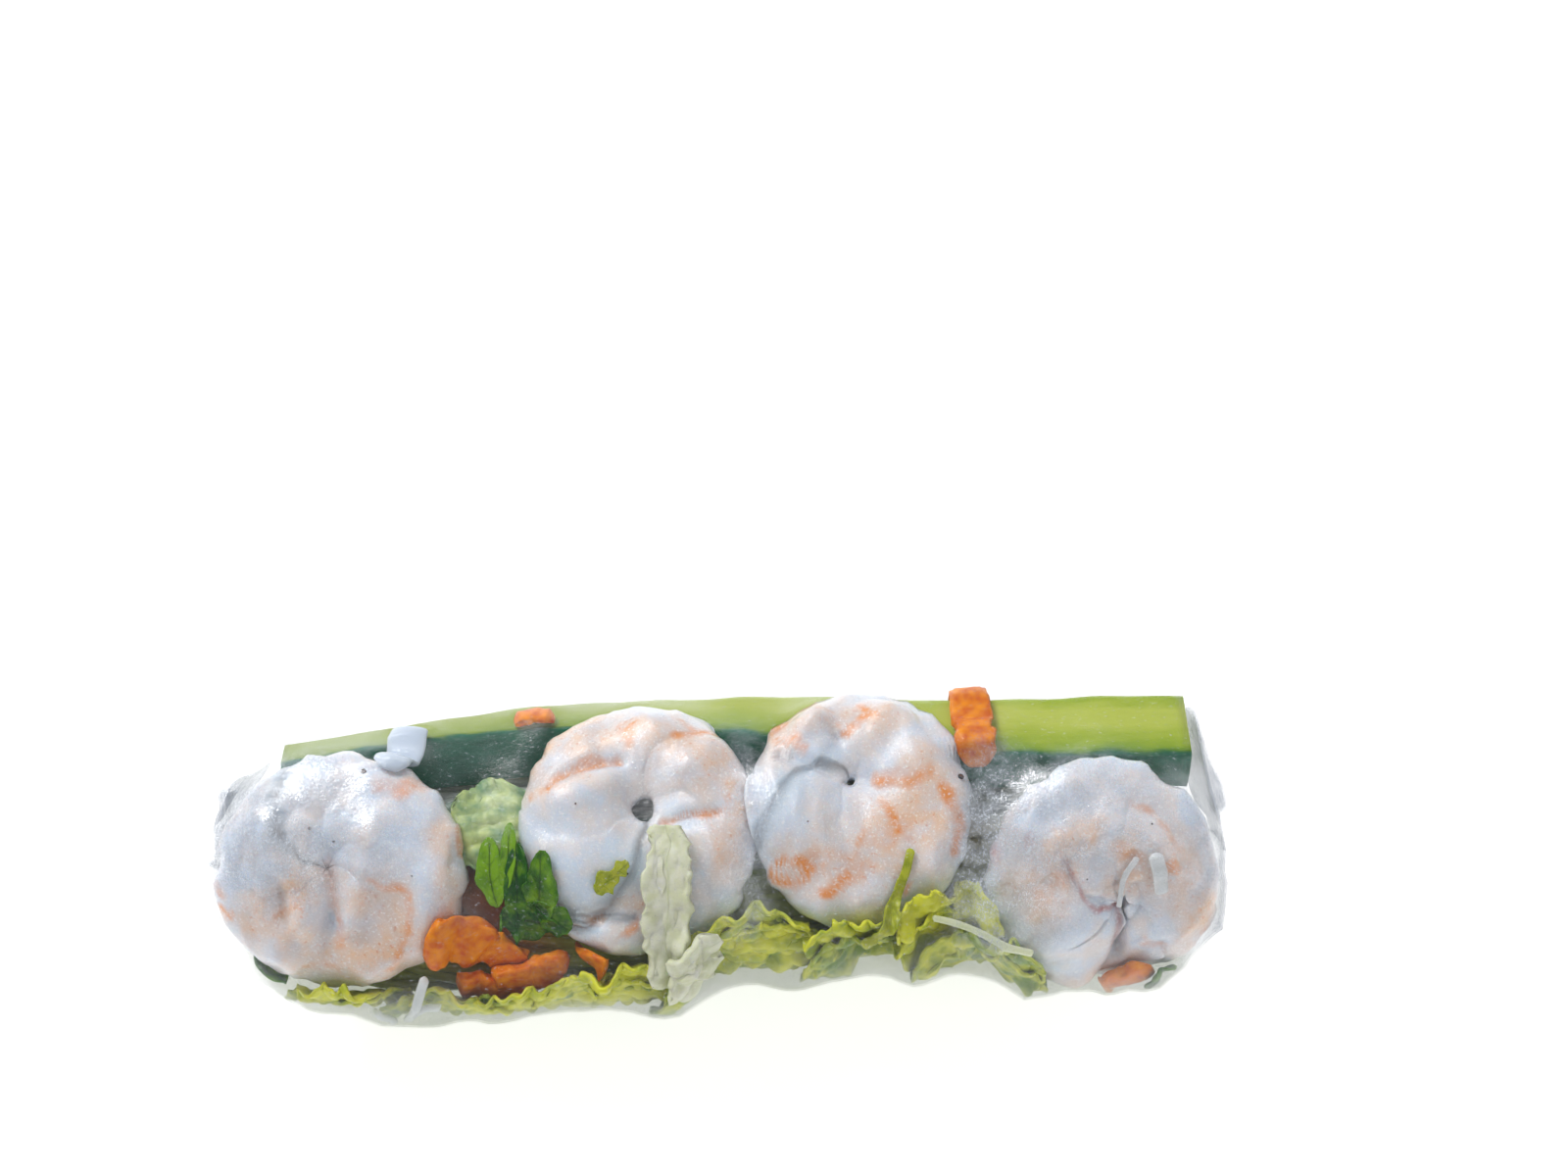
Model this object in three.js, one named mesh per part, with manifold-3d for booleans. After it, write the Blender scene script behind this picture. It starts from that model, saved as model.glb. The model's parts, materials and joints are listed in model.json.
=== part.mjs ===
// Rice paper roll: four curled shrimps, a cucumber stick, carrot shreds, lettuce, coriander and rice
// noodles, wrapped in a taut translucent sheet with its ends tucked in. Millimetres, +X along the roll,
// -Y to the front, +Z up.
//
// Every piece is laid in wrap coordinates: "along" runs along the roll and bends over its round ends,
// "around" is in degrees from the top towards the front, and "out" is the distance from the spine in
// the middle of the roll.
import * as THREE from "three";
import { mergeVertices } from "three/addons/utils/BufferGeometryUtils.js";
import Module from "manifold-3d";

const wasm = await Module();
wasm.setup();

// ---------------------------------------------------------------- driving dimensions, in mm and degrees
const LENGTH = 132;
const TABLE = -17; // height of the table, with the spine at 0
const PAPER = 0.8; // two turns of soaked sheet pressed together
const GAP = 0.35; // clearance between neighbouring pieces

const SPINE = LENGTH / 2 - 14; // half of the straight spine, from whose ends the round ends fan out
const CAP_RADIUS = 17; // turns a distance past the spine's end into a lean
const ARC_RADIUS = 18; // turns a distance across the roll into an angle around it
const MOUTH_LEAN = 82; // the sheet stops here, at the narrow mouth of each tucked end

const SHEET = { rows: 38, columns: 30, rounds: 30, cling: 0.15 };
const MOUTH = {
  reach: LENGTH / 2 - SPINE - PAPER - 1.5, // out, at the rim of the mouth
  outside: { wide: 2.2, high: 0.8 }, // how the rim is drawn into a slit
  inside: { wide: 1.7, high: 0.2 },
};
const NOODLES = {
  rows: 24,
  columns: 20,
  reach: 69, // along, at each end of the bundle
  front: 17.2, // half-sizes of the section
  back: 17.6,
  belly: { along: -34, reach: 15, rise: 3.2 }, // where the front bulges out
  halfHeight: 16.4,
  topDip: 4.5, // hollow on top, under the shrimps
  endDip: 9, // how far each end narrows, from before the spine's end
  endFrom: SPINE - 8,
  endTo: SPINE + 12,
  lumps: [0.5, 0.4],
  clearance: 0.4, // on top of the gap, because the facets are coarse
  strand: 0.95, // radius of a noodle
};
const LOOSE = {
  count: 8, // strands that show on the outside of the bundle
  around: [112, 262], // where the first and the last lie
  along: [-44, 44], // where the longest one ends
  steps: 9,
  sides: 5,
  sway: 5,
  sink: 0.2,
};
const MAP_CELL = 0.9; // cell of the fine height map
const SAMPLE = 0.7; // distance between the points taken on a face

const SHRIMP = {
  ring: 9.2, // radius of the curl along the middle of the body
  head: { width: 7, height: 4.1 }, // half-sizes at the cut head end
  tail: { width: 5.4, height: 2.8 },
  segments: 6,
  steps: 26,
  sides: 10,
  bend: 24, // radius that a lying shrimp bends to over the roll
};
const CUCUMBER = {
  // [along, around, out] of the corner between the cut face and the skin
  edge: [[-57, -32, 16.6], [-25, -42, 17.2], [4, -32, 17.1], [32, -15, 17], [62, -10, 16.4]],
  width: [6.4, 9.4], // of the cut face, at its two ends
  depth: 7.6,
  twist: [45, 13], // how far the cut face leans back, at its two ends
  steps: 14,
};
// How far along a fold of the tucked end rises and fades.
const PLEAT = { from: SPINE + 6, full: SPINE + 16, fade: SPINE + 18, to: SPINE + 25 };

const COLOURS = {
  paper: 0xdfe3e0,
  shrimp: 0xf0d9cf,
  cucumber: 0xb4c56a,
  carrot: 0xe8781c,
  lettuce: 0xb8c84a,
  rib: 0xdde3a4,
  herb: 0x3f7a2c,
  noodle: 0xf1f1ec,
};

const rad = THREE.MathUtils.degToRad;
const deg = THREE.MathUtils.radToDeg;
const { lerp, smoothstep, clamp, euclideanModulo } = THREE.MathUtils;
const TURN = 360;

// ---------------------------------------------------------------- wrap coordinates
function onWrap(along, around, out) {
  const past = Math.abs(along) - SPINE;
  const lean = past > 0 ? past / CAP_RADIUS : 0;
  const across = out * Math.cos(lean);
  return new THREE.Vector3(
    clamp(along, -SPINE, SPINE) + Math.sign(along) * out * Math.sin(lean),
    -across * Math.sin(rad(around)),
    across * Math.cos(rad(around)),
  );
}

function wrapOf(point) {
  const past = Math.max(0, Math.abs(point.x) - SPINE);
  const across = Math.hypot(point.y, point.z);
  return {
    along: clamp(point.x, -SPINE, SPINE) + Math.sign(point.x) * Math.atan2(past, across) * CAP_RADIUS,
    around: deg(Math.atan2(-point.y, point.z)),
    out: Math.hypot(past, across),
  };
}

const MOUTH_ALONG = SPINE + rad(MOUTH_LEAN) * CAP_RADIUS;

// ---------------------------------------------------------------- closed solids
// A solid of the given points, with its faces turned round if they point inwards.
function solid(points, triangles) {
  const geometry = new THREE.BufferGeometry();
  geometry.setAttribute("position", new THREE.Float32BufferAttribute(points.flatMap((p) => p.toArray()), 3));
  geometry.setIndex(triangles.flat());
  if (toManifold(geometry).volume() < 0) {
    geometry.setIndex(triangles.map(([a, b, c]) => [a, c, b]).flat());
  }
  return geometry;
}

// The two triangles of each cell of a grid of points, all the way round the columns if they close.
function gridTriangles(rows, columns, closed) {
  const triangles = [];
  for (let i = 0; i + 1 < rows; i++) {
    for (let j = 0; j < (closed ? columns : columns - 1); j++) {
      const k = (j + 1) % columns;
      const [row, next] = [i * columns, (i + 1) * columns];
      triangles.push([row + j, row + k, next + k], [row + j, next + k, next + j]);
    }
  }
  return triangles;
}

// A body through a row of closed rings, with a fan over each end.
function loft(rings) {
  const sides = rings[0].length;
  const points = rings.flat();
  const triangles = gridTriangles(rings.length, sides, true);
  for (const first of [0, (rings.length - 1) * sides]) {
    const hub = points.length;
    const ring = points.slice(first, first + sides);
    points.push(ring.reduce((sum, p) => sum.add(p), new THREE.Vector3()).divideScalar(sides));
    for (let j = 0; j < sides; j++) {
      const [a, b] = [first + j, first + ((j + 1) % sides)];
      triangles.push(first ? [a, b, hub] : [b, a, hub]);
    }
  }
  return solid(points, triangles);
}

// The space between two alike grids of points, joined round their edges: a wall if the columns close,
// or else a plate.
function between(upper, lower, closed) {
  const [rows, columns] = [upper.length, upper[0].length];
  const size = rows * columns;
  const triangles = gridTriangles(rows, columns, closed);
  triangles.push(...triangles.map(([a, b, c]) => [size + a, size + c, size + b]));
  const rims = [];
  const range = (count, place) => Array.from({ length: count }, (_, k) => place(k));
  if (closed) {
    rims.push(range(columns, (j) => j), range(columns, (j) => size - 1 - j));
  } else {
    rims.push([
      ...range(columns - 1, (j) => j),
      ...range(rows - 1, (i) => i * columns + columns - 1),
      ...range(columns - 1, (j) => size - 1 - j),
      ...range(rows - 1, (i) => (rows - 1 - i) * columns),
    ]);
  }
  for (const rim of rims) {
    rim.forEach((a, k) => {
      const b = rim[(k + 1) % rim.length];
      triangles.push([b, a, size + a], [b, size + a, size + b]);
    });
  }
  return solid([...upper.flat(), ...lower.flat()], triangles);
}

function toManifold(geometry) {
  const merged = mergeVertices(geometry, 1e-3);
  return new wasm.Manifold(
    new wasm.Mesh({
      numProp: 3,
      vertProperties: merged.getAttribute("position").array,
      triVerts: new Uint32Array(merged.index.array),
    }),
  );
}

function fromManifold(manifold) {
  const mesh = manifold.getMesh();
  const geometry = new THREE.BufferGeometry();
  geometry.setAttribute("position", new THREE.BufferAttribute(mesh.vertProperties, 3));
  geometry.setIndex(new THREE.BufferAttribute(mesh.triVerts, 1));
  return geometry;
}

// The main body of what a cutter leaves of a piece.
function without(geometry, cutter) {
  const bodies = toManifold(geometry).subtract(toManifold(cutter)).decompose();
  return fromManifold(bodies.reduce((most, body) => (body.volume() > most.volume() ? body : most)));
}

// ---------------------------------------------------------------- what lies under and over a place
// Calls visit on points spread over every face of a geometry.
function eachSample(geometry, visit) {
  const position = geometry.getAttribute("position");
  const order = geometry.index.array;
  const corner = (k) => new THREE.Vector3().fromBufferAttribute(position, order[k]);
  for (let i = 0; i < order.length; i += 3) {
    const [a, b, c] = [corner(i), corner(i + 1), corner(i + 2)];
    const longest = Math.max(a.distanceTo(b), b.distanceTo(c), c.distanceTo(a));
    const n = Math.max(1, Math.ceil(longest / SAMPLE));
    for (let u = 0; u <= n; u++) {
      for (let v = 0; u + v <= n; v++) {
        const p = a.clone().multiplyScalar(1 - (u + v) / n);
        visit(p.addScaledVector(b, u / n).addScaledVector(c, v / n));
      }
    }
  }
}

// How near to the spine and how far from it the pieces reach, in a grid of rows along and columns
// around the roll.
class HeightMap {
  constructor(rows, columns, reach = MOUTH_ALONG) {
    Object.assign(this, { rows, columns, reach });
    this.far = new Float64Array((rows + 1) * columns);
    this.near = new Float64Array((rows + 1) * columns).fill(Infinity);
  }

  cell(along, around) {
    return [((along + this.reach) / (2 * this.reach)) * this.rows, ((around + TURN) / TURN) * this.columns];
  }

  index(row, column) {
    return clamp(row, 0, this.rows) * this.columns + euclideanModulo(column, this.columns);
  }

  place(row, column) {
    return [((row / this.rows) * 2 - 1) * this.reach, (column / this.columns) * TURN];
  }

  // Each point counts for the four corners round it, so that the flat facets between them stay clear
  // of it.
  add(...geometries) {
    for (const geometry of geometries) {
      eachSample(geometry, (point) => {
        const { along, around, out } = wrapOf(point);
        const [r, c] = this.cell(along, around).map(Math.floor);
        for (const [i, j] of [[0, 0], [1, 0], [0, 1], [1, 1]]) {
          const k = this.index(r + i, c + j);
          this.far[k] = Math.max(this.far[k], out);
          this.near[k] = Math.min(this.near[k], out);
        }
      });
    }
    return this;
  }

  // The corners of the facet that a point lies under, each with its share of the facet's height there.
  facet(along, around) {
    const [row, column] = this.cell(along, around);
    const [r, c] = [Math.floor(row), Math.floor(column)];
    const [down, over] = [row - r, column - c];
    const shared = [
      [this.index(r, c), 1 - Math.max(down, over)],
      [this.index(r + 1, c + 1), Math.min(down, over)],
    ];
    if (over >= down) return [...shared, [this.index(r, c + 1), over - down]];
    return [...shared, [this.index(r + 1, c), down - over]];
  }

  // The farthest reach within a few cells of a place.
  top(along, around, cells) {
    const [r, c] = this.cell(along, around).map(Math.round);
    let best = 0;
    for (let i = -cells; i <= cells; i++) {
      for (let j = -cells; j <= cells; j++) best = Math.max(best, this.far[this.index(r + i, c + j)]);
    }
    return best;
  }

  // The value of settle(own, mean of its four neighbours) for every corner, worked out a number of rounds.
  relax(values, rounds, settle) {
    let heights = values;
    for (let round = 0; round < rounds; round++) {
      const before = heights;
      heights = before.map((_, k) => {
        const [r, c] = [Math.floor(k / this.columns), k % this.columns];
        const steps = [[-1, 0], [1, 0], [0, -1], [0, 1]];
        const mean = steps.reduce((sum, [i, j]) => sum + before[this.index(r + i, c + j)], 0) / steps.length;
        return settle(k, mean);
      });
    }
    return heights;
  }

  // Rings of points at the given heights, never under a floor.
  rings(heights, floor) {
    return Array.from({ length: this.rows + 1 }, (_, r) =>
      Array.from({ length: this.columns }, (_, c) => {
        const point = onWrap(...this.place(r, c), heights[this.index(r, c)]);
        point.z = Math.max(point.z, floor);
        return point;
      }),
    );
  }
}

// Everything laid so far, on a fine grid.
const layers = new HeightMap(
  Math.round((2 * MOUTH_ALONG) / MAP_CELL),
  Math.round((2 * Math.PI * ARC_RADIUS) / MAP_CELL),
);

// ---------------------------------------------------------------- cucumber and shrimps
// A stick cut lengthwise from a cucumber, hung from the corner between its cut face and its round skin
// side at the front. grow makes it larger all over, as a cutter for what lies against it.
function cucumberStick(grow = 0) {
  const { depth, twist, steps } = CUCUMBER;
  const stops = CUCUMBER.edge.map((stop) => new THREE.Vector3(...stop));
  const edge = new THREE.CatmullRomCurve3(stops, false, "catmullrom");
  const bulge = 0.1;
  const section = new THREE.Shape()
    .moveTo(0, -1)
    .quadraticCurveTo(-bulge, -0.5, 0, 0)
    .lineTo(0.92, 0)
    .quadraticCurveTo(1, 0, 1, -0.1)
    .lineTo(0.97, -0.9)
    .quadraticCurveTo(0.96, -1, 0.86, -1)
    .getPoints(3)
    .slice(0, -1);
  const rings = [];
  for (let i = 0; i <= steps; i++) {
    const share = i / steps;
    const end = i === 0 ? -1 : i === steps ? 1 : 0;
    const trim = end ? 0.94 : 1;
    const change = smoothstep(share, 0, 1);
    const width = lerp(...CUCUMBER.width, change);
    const lean = rad(lerp(...twist, change));
    const { x, y: around, z: out } = edge.getPoint(share);
    rings.push(
      section.map((p) => {
        const across = p.x * width * trim + (p.x - 0.5) * 2 * grow;
        const inward = p.y * depth * trim + (p.y + 0.5) * 2 * grow;
        return new THREE.Vector3(
          x + end * grow,
          -out * Math.sin(rad(around)) + across * Math.cos(lean) + inward * Math.sin(lean),
          out * Math.cos(rad(around)) - across * Math.sin(lean) + inward * Math.cos(lean),
        );
      }),
    );
  }
  return loft(rings);
}

// Half-sizes of a shrimp's body at a share of its length from the cut head end to the tail tip.
function shrimpGirth(share) {
  const bulge = Math.abs(Math.sin(Math.PI * SHRIMP.segments * share));
  const swell = 0.92 + 0.08 * Math.sqrt(bulge);
  const headEnd = Math.sqrt(clamp(share / 0.06 + 0.6, 0, 1));
  const tailEnd = Math.sqrt(clamp((1 - share) / 0.1 + 0.4, 0, 1));
  const size = swell * headEnd * tailEnd;
  return {
    width: lerp(SHRIMP.head.width, SHRIMP.tail.width, share) * size,
    height: lerp(SHRIMP.head.height, SHRIMP.tail.height, share) * size,
  };
}

// A peeled shrimp curled on its side and bent over the roll, its underside pressed on what it lies on.
// start is where its head end lies on the ring, turn is +1 or -1 for the way it curls, and hole is the
// radius left open in the middle of the curl.
function shrimp({ along, around, seat, start, turn, sweep, hole, scale }) {
  const rings = [];
  for (let i = 0; i <= SHRIMP.steps; i++) {
    const share = i / SHRIMP.steps;
    const angle = rad(start + turn * sweep * share);
    const { width, height } = shrimpGirth(share);
    const ring = [];
    for (let j = 0; j < SHRIMP.sides; j++) {
      const c = (2 * Math.PI * j) / SHRIMP.sides;
      const half = Math.cos(c) > 0 ? width : Math.min(1.2 * width, SHRIMP.ring - hole);
      const reach = SHRIMP.ring + half * Math.cos(c);
      const [right, back] = [scale[0] * reach * Math.cos(angle), scale[1] * reach * Math.sin(angle)];
      const rise = SHRIMP.bend + height * Math.sin(c);
      const point = new THREE.Vector3(
        along + right,
        rise * Math.sin(back / SHRIMP.bend),
        rise * Math.cos(back / SHRIMP.bend) - SHRIMP.bend + seat,
      );
      ring.push(pressed(point.applyAxisAngle(new THREE.Vector3(1, 0, 0), rad(around))));
    }
    rings.push(ring);
  }
  return without(loft(rings), cucumberStick(GAP));
}

// A point moved out until it clears what has been laid under it.
function pressed(point) {
  const { along, around, out } = wrapOf(point);
  const under = layers.top(along, around, 2);
  return under && out < under + GAP ? onWrap(along, around, under + GAP) : point;
}

// ---------------------------------------------------------------- strips and leaves
// A grid of places, in rows along a route of [along, around] stops and columns across it, with the share
// of the route and of the width at each.
function placesAcross(route, rows, columns, halfWidthAt) {
  const path = new THREE.CatmullRomCurve3(
    route.map(([along, around]) => new THREE.Vector3(along, rad(around) * ARC_RADIUS, 0)),
  );
  return Array.from({ length: rows + 1 }, (_, i) => {
    const share = i / rows;
    const middle = path.getPoint(share);
    const heading = path.getTangent(share);
    return Array.from({ length: columns + 1 }, (_, j) => {
      const side = (2 * j) / columns - 1;
      const reach = side * halfWidthAt(share);
      const arc = middle.y + heading.x * reach;
      return { along: middle.x - heading.y * reach, around: deg(arc / ARC_RADIUS), share, side };
    });
  });
}

// The height at each place of a sheet that lies slack on what has been laid, and nowhere under its own
// depth.
function drape(places, depth) {
  const rounds = 8;
  const floor = places.map((row) =>
    row.map(({ along, around }) => Math.max(layers.top(along, around, 1) + GAP, depth)),
  );
  const [lastRow, lastColumn] = [places.length - 1, places[0].length - 1];
  let heights = floor;
  for (let round = 0; round < rounds; round++) {
    const before = heights;
    const at = (i, j) => before[clamp(i, 0, lastRow)][clamp(j, 0, lastColumn)];
    heights = before.map((row, i) =>
      row.map((_, j) => {
        const mean = (at(i - 1, j) + at(i + 1, j) + at(i, j - 1) + at(i, j + 1)) / 4;
        return Math.max(floor[i][j], mean);
      }),
    );
  }
  return heights;
}

// A shred or a noodle: a strip with a rounded section, laid along a route.
function strip({ route, width, thickness, depth, steps = 6, sides = 6, blunt = 0.6 }) {
  const endAt = (share) => (share === 0 || share === 1 ? blunt : 1);
  const places = placesAcross(route, steps, 2, (share) => (width / 2) * endAt(share));
  const heights = drape(places, depth);
  const rings = places.map((row, i) => {
    const floor = Math.max(...heights[i]);
    const half = (thickness / 2) * endAt(row[0].share);
    return Array.from({ length: sides }, (_, j) => {
      const c = (2 * Math.PI * (j + 0.5)) / sides;
      const across = (1 + Math.cos(c)) / 2;
      return onWrap(
        lerp(row[0].along, row[2].along, across),
        lerp(row[0].around, row[2].around, across),
        floor + half * (1 + Math.sin(c)),
      );
    });
  });
  return loft(rings);
}

const LEAF = { thickness: 0.8, wave: 1.2, ruffles: 3, lobes: 0.12, rows: 12, columns: 3 };

// A leaf: a thin wavy sheet along a route, narrow at both ends, with a lobed edge.
function leaf(layout) {
  const { route, width, depth, thickness, wave, ruffles, lobes, rows, columns } = { ...LEAF, ...layout };
  const halfWidthAt = (share) => {
    const taper = Math.sqrt(Math.sin(Math.PI * clamp(share, 0.05, 0.95)));
    return (width / 2) * taper * (1 + lobes * Math.cos(2 * Math.PI * ruffles * share));
  };
  const places = placesAcross(route, rows, columns, halfWidthAt);
  const heights = drape(places, depth);
  const face = (rise) =>
    places.map((row, i) =>
      row.map(({ along, around, share, side }, j) => {
        const ripple = (1 + Math.sin(2 * Math.PI * ruffles * share + 2.2 * side)) / 2;
        return onWrap(along, around, heights[i][j] + wave * ripple * Math.abs(side) + rise);
      }),
    );
  return between(face(thickness), face(0), false);
}

// ---------------------------------------------------------------- noodles and sheet
// The packed noodles, which fill what the other pieces leave, with strands half sunk in their outside.
function noodleBundle(pieces) {
  const { front, back, belly, halfHeight, topDip, endDip, endFrom, endTo, lumps } = NOODLES;
  const map = new HeightMap(NOODLES.rows, NOODLES.columns, NOODLES.reach).add(...pieces);
  const floor = TABLE + PAPER + GAP + NOODLES.strand;
  const heights = map.near.map((near, k) => {
    const [along, around] = map.place(Math.floor(k / map.columns), k % map.columns);
    const a = rad(around);
    const bulge = belly.rise * Math.exp(-(((along - belly.along) / belly.reach) ** 2));
    const halfWidth = Math.sin(a) > 0 ? front + bulge : back;
    const full = 1 / Math.hypot(Math.sin(a) / halfWidth, Math.cos(a) / halfHeight);
    const topFall = topDip * smoothstep(Math.cos(a), 0.3, 1);
    const endFall = endDip * smoothstep(Math.abs(along), endFrom, endTo);
    const lump = lumps[0] * Math.sin(along / 7 + 2 * Math.sin(a));
    const smallLump = lumps[1] * Math.sin(along / 3.7 + 5 * a);
    return Math.min(full - topFall - endFall + lump + smallLump, near - GAP - NOODLES.clearance);
  });
  let bundle = toManifold(loft(map.rings(heights, floor)));
  for (const loose of looseStrands(map, heights, floor)) bundle = bundle.add(toManifold(loose));
  return fromManifold(bundle);
}

// Noodle strands that wander along the underside and the back of the bundle.
function looseStrands(map, heights, floor) {
  const { count, steps, sides, sway, sink } = LOOSE;
  return Array.from({ length: count }, (_, n) => {
    const start = lerp(...LOOSE.around, n / (count - 1));
    const [from, to] = [LOOSE.along[0] + ((n * 7) % 12), LOOSE.along[1] - ((n * 5) % 14)];
    const rings = Array.from({ length: steps + 1 }, (_, i) => {
      const along = lerp(from, to, i / steps);
      const around = start + sway * Math.sin(along / (9 + 2 * (n % 3)) + n);
      const height = heights[map.index(...map.cell(along, around).map(Math.round))];
      const middle = onWrap(along, around, height - sink);
      middle.z = Math.max(middle.z, floor);
      return Array.from({ length: sides }, (_, j) => {
        const c = (2 * Math.PI * (j + 0.5)) / sides;
        const side = new THREE.Vector3(0, Math.cos(c), Math.sin(c)).multiplyScalar(NOODLES.strand);
        return middle.clone().add(side);
      });
    });
    return loft(rings);
  });
}

// Folds of the tucked ends, as ridges that run to the mouth: side of the roll, degrees around, width in
// degrees and rise.
const PLEATS = [
  { end: -1, around: -50, width: 24, rise: 0.9 },
  { end: -1, around: 28, width: 16, rise: 1.7 },
  { end: -1, around: 150, width: 22, rise: 1.2 },
  { end: 1, around: -70, width: 24, rise: 0.9 },
  { end: 1, around: 30, width: 20, rise: 0.8 },
  { end: 1, around: 84, width: 14, rise: 0.7 },
  { end: 1, around: 150, width: 24, rise: 1.2 },
];

function pleatRise(along, around) {
  const reach = Math.abs(along);
  const rising = smoothstep(reach, PLEAT.from, PLEAT.full);
  const nearMouth = rising * (1 - smoothstep(reach, PLEAT.fade, PLEAT.to));
  return PLEATS.filter(({ end }) => end === Math.sign(along)).reduce((rise, pleat) => {
    const off = (euclideanModulo(around - pleat.around + TURN / 2, TURN) - TURN / 2) / pleat.width;
    return rise + pleat.rise * nearMouth * Math.exp(-off * off);
  }, 0);
}

// The rice paper: a film drawn tight over everything, flat where it rests, its ends tucked in to narrow
// mouths.
function ricePaper(pieces) {
  const map = new HeightMap(SHEET.rows, SHEET.columns);
  const loads = [];
  for (const piece of pieces) {
    eachSample(piece, (point) => {
      const { along, around, out } = wrapOf(point);
      if (out > MOUTH.reach) loads.push({ corners: map.facet(along, around), out: out + GAP });
    });
  }
  const isMouth = (k) => k < map.columns || k >= map.rows * map.columns;
  const floor = Array.from(
    map.far,
    (_, k) => MOUTH.reach + pleatRise(...map.place(Math.floor(k / map.columns), k % map.columns)),
  );
  let heights = floor;
  for (let round = 0; round < SHEET.rounds; round++) {
    heights = map.relax(heights, 1, (k, mean) => {
      return isMouth(k) ? floor[k] : Math.max(mean - SHEET.cling, floor[k]);
    });
    for (const load of loads) lift(heights, load);
  }
  const face = (extra, { wide, high }) => {
    const rings = map.rings(heights.map((height) => height + extra), TABLE + PAPER - extra);
    for (const point of [...rings[0], ...rings[map.rows]]) point.multiply(new THREE.Vector3(1, wide, high));
    return rings;
  };
  return between(face(PAPER, MOUTH.outside), face(0, MOUTH.inside), true);
}

// Raises the corners of a facet until it clears the point under it.
function lift(heights, { corners, out }) {
  const short = out - corners.reduce((sum, [k, share]) => sum + share * heights[k], 0);
  if (short <= 0) return;
  const pull = corners.reduce((sum, [, share]) => sum + share * share, 0);
  for (const [k, share] of corners) heights[k] += (short * share) / pull;
}

// ---------------------------------------------------------------- the roll
const SHRIMPS = [
  { along: -47.4, around: 31, seat: 14.4, start: 103, turn: 1, sweep: 340, hole: 0.9, scale: [1, 0.97] },
  { along: -9.3, around: 13.5, seat: 14.4, start: 233, turn: -1, sweep: 350, hole: 1.8, scale: [0.96, 1.03] },
  { along: 19, around: 8.5, seat: 14.2, start: 168, turn: 1, sweep: 347, hole: 0.9, scale: [0.86, 0.94] },
  { along: 50, around: 51, seat: 15.8, start: 248, turn: -1, sweep: 348, hole: 0.9, scale: [0.98, 1.1] },
];
const CARROTS = [
  { route: [[34.3, -9], [34.1, -28], [33.9, -53]], width: 4.8, thickness: 1.4, depth: 15 },
  { route: [[-25.2, -43], [-22.6, -45], [-20, -44]], width: 3.2, thickness: 1.2, depth: 14 },
  { route: [[-36.6, 56], [-32.4, 61], [-29, 70]], width: 5.6, thickness: 1.8, depth: 17.2 },
  { route: [[-31.6, 78], [-26.6, 83], [-22, 76]], width: 3.4, thickness: 1.8, depth: 18.4 },
  { route: [[-17.6, 70], [-15.6, 66], [-13.8, 67]], width: 2.8, thickness: 1.4, depth: 16.8 },
  { route: [[50.4, 93], [52.6, 91], [54.8, 89]], width: 3.4, thickness: 1.6, depth: 17.6 },
];
const LETTUCES = [
  { route: [[-53, 84], [-48.2, 88], [-43.6, 87]], width: 7, depth: 18 },
  { route: [[-37.8, 95], [-21, 92], [-4.6, 87]], width: 10, depth: 18.4, ruffles: 5, rows: 18 },
  { route: [[-3.2, 70], [5, 75], [13.3, 72]], width: 9, depth: 16.6, ruffles: 4, rows: 14 },
  { route: [[12.6, 73], [18, 74], [23.4, 71]], width: 7, depth: 15.6, ruffles: 3 },
  { route: [[23.6, 60], [27, 64], [30.8, 64]], width: 6, depth: 15, ruffles: 2, wave: 0.9 },
  { route: [[32.6, 74], [36.6, 78], [40.4, 76]], width: 8, depth: 17.2, ruffles: 2 },
];
const BED = {
  route: [[-33.4, 2], [-27.6, 6], [-22.2, 4]],
  width: 18,
  depth: 13.2,
  ruffles: 2,
  wave: 0.5,
  rows: 10,
};
const RIBS = [
  {
    route: [[-5.1, 16], [-5.9, 41], [-6.6, 69]],
    width: 6,
    depth: 16,
    thickness: 1.1,
    wave: 0.3,
    ruffles: 1,
  },
  {
    route: [[-5.7, 64], [-3.1, 58], [0.2, 53]],
    width: 3.4,
    depth: 16,
    thickness: 1,
    wave: 0.2,
    ruffles: 1,
    rows: 8,
  },
];
const HERBS = [
  {
    route: [[-24.2, 10], [-24.4, 33], [-23.7, 58]],
    width: 10,
    depth: 16.4,
    lobes: 0.22,
    wave: 0.5,
  },
  {
    route: [[-14.5, 35], [-12.4, 31], [-10.6, 28]],
    width: 2.8,
    depth: 16,
    ruffles: 2,
    wave: 0.2,
    rows: 6,
    columns: 2,
  },
  { route: [[-61.8, 76], [-58.4, 80], [-55.2, 82]], width: 5, depth: 14, ruffles: 2, wave: 0.3, rows: 8 },
  { route: [[54.6, 93], [56.4, 91], [58, 88]], width: 4.2, depth: 15.2, ruffles: 2, wave: 0.3, rows: 8 },
];
const SLIVER = { route: [[25, 28], [23.2, 42], [20.6, 57]], width: 1.7, thickness: 0.9, depth: 17 };
const STRANDS = [
  { route: [[-41.1, -5], [-39.9, -22], [-38.2, -43]], width: 4.4, thickness: 1.5, depth: 15 },
  { route: [[-36.4, 68], [-38.6, 83], [-40.8, 99]], width: 1.8, thickness: 1.2, depth: 18.6 },
  { route: [[27.5, 51], [33.7, 55], [40, 60]], width: 1.8, thickness: 1.2, depth: 17 },
  { route: [[54.8, 31], [55.6, 40], [56, 48]], width: 1.9, thickness: 1.2, depth: 17 },
  { route: [[54.2, 34], [52.2, 42], [52, 54]], width: 1.1, thickness: 0.8, depth: 17 },
];

const roll = new THREE.Group();

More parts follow.
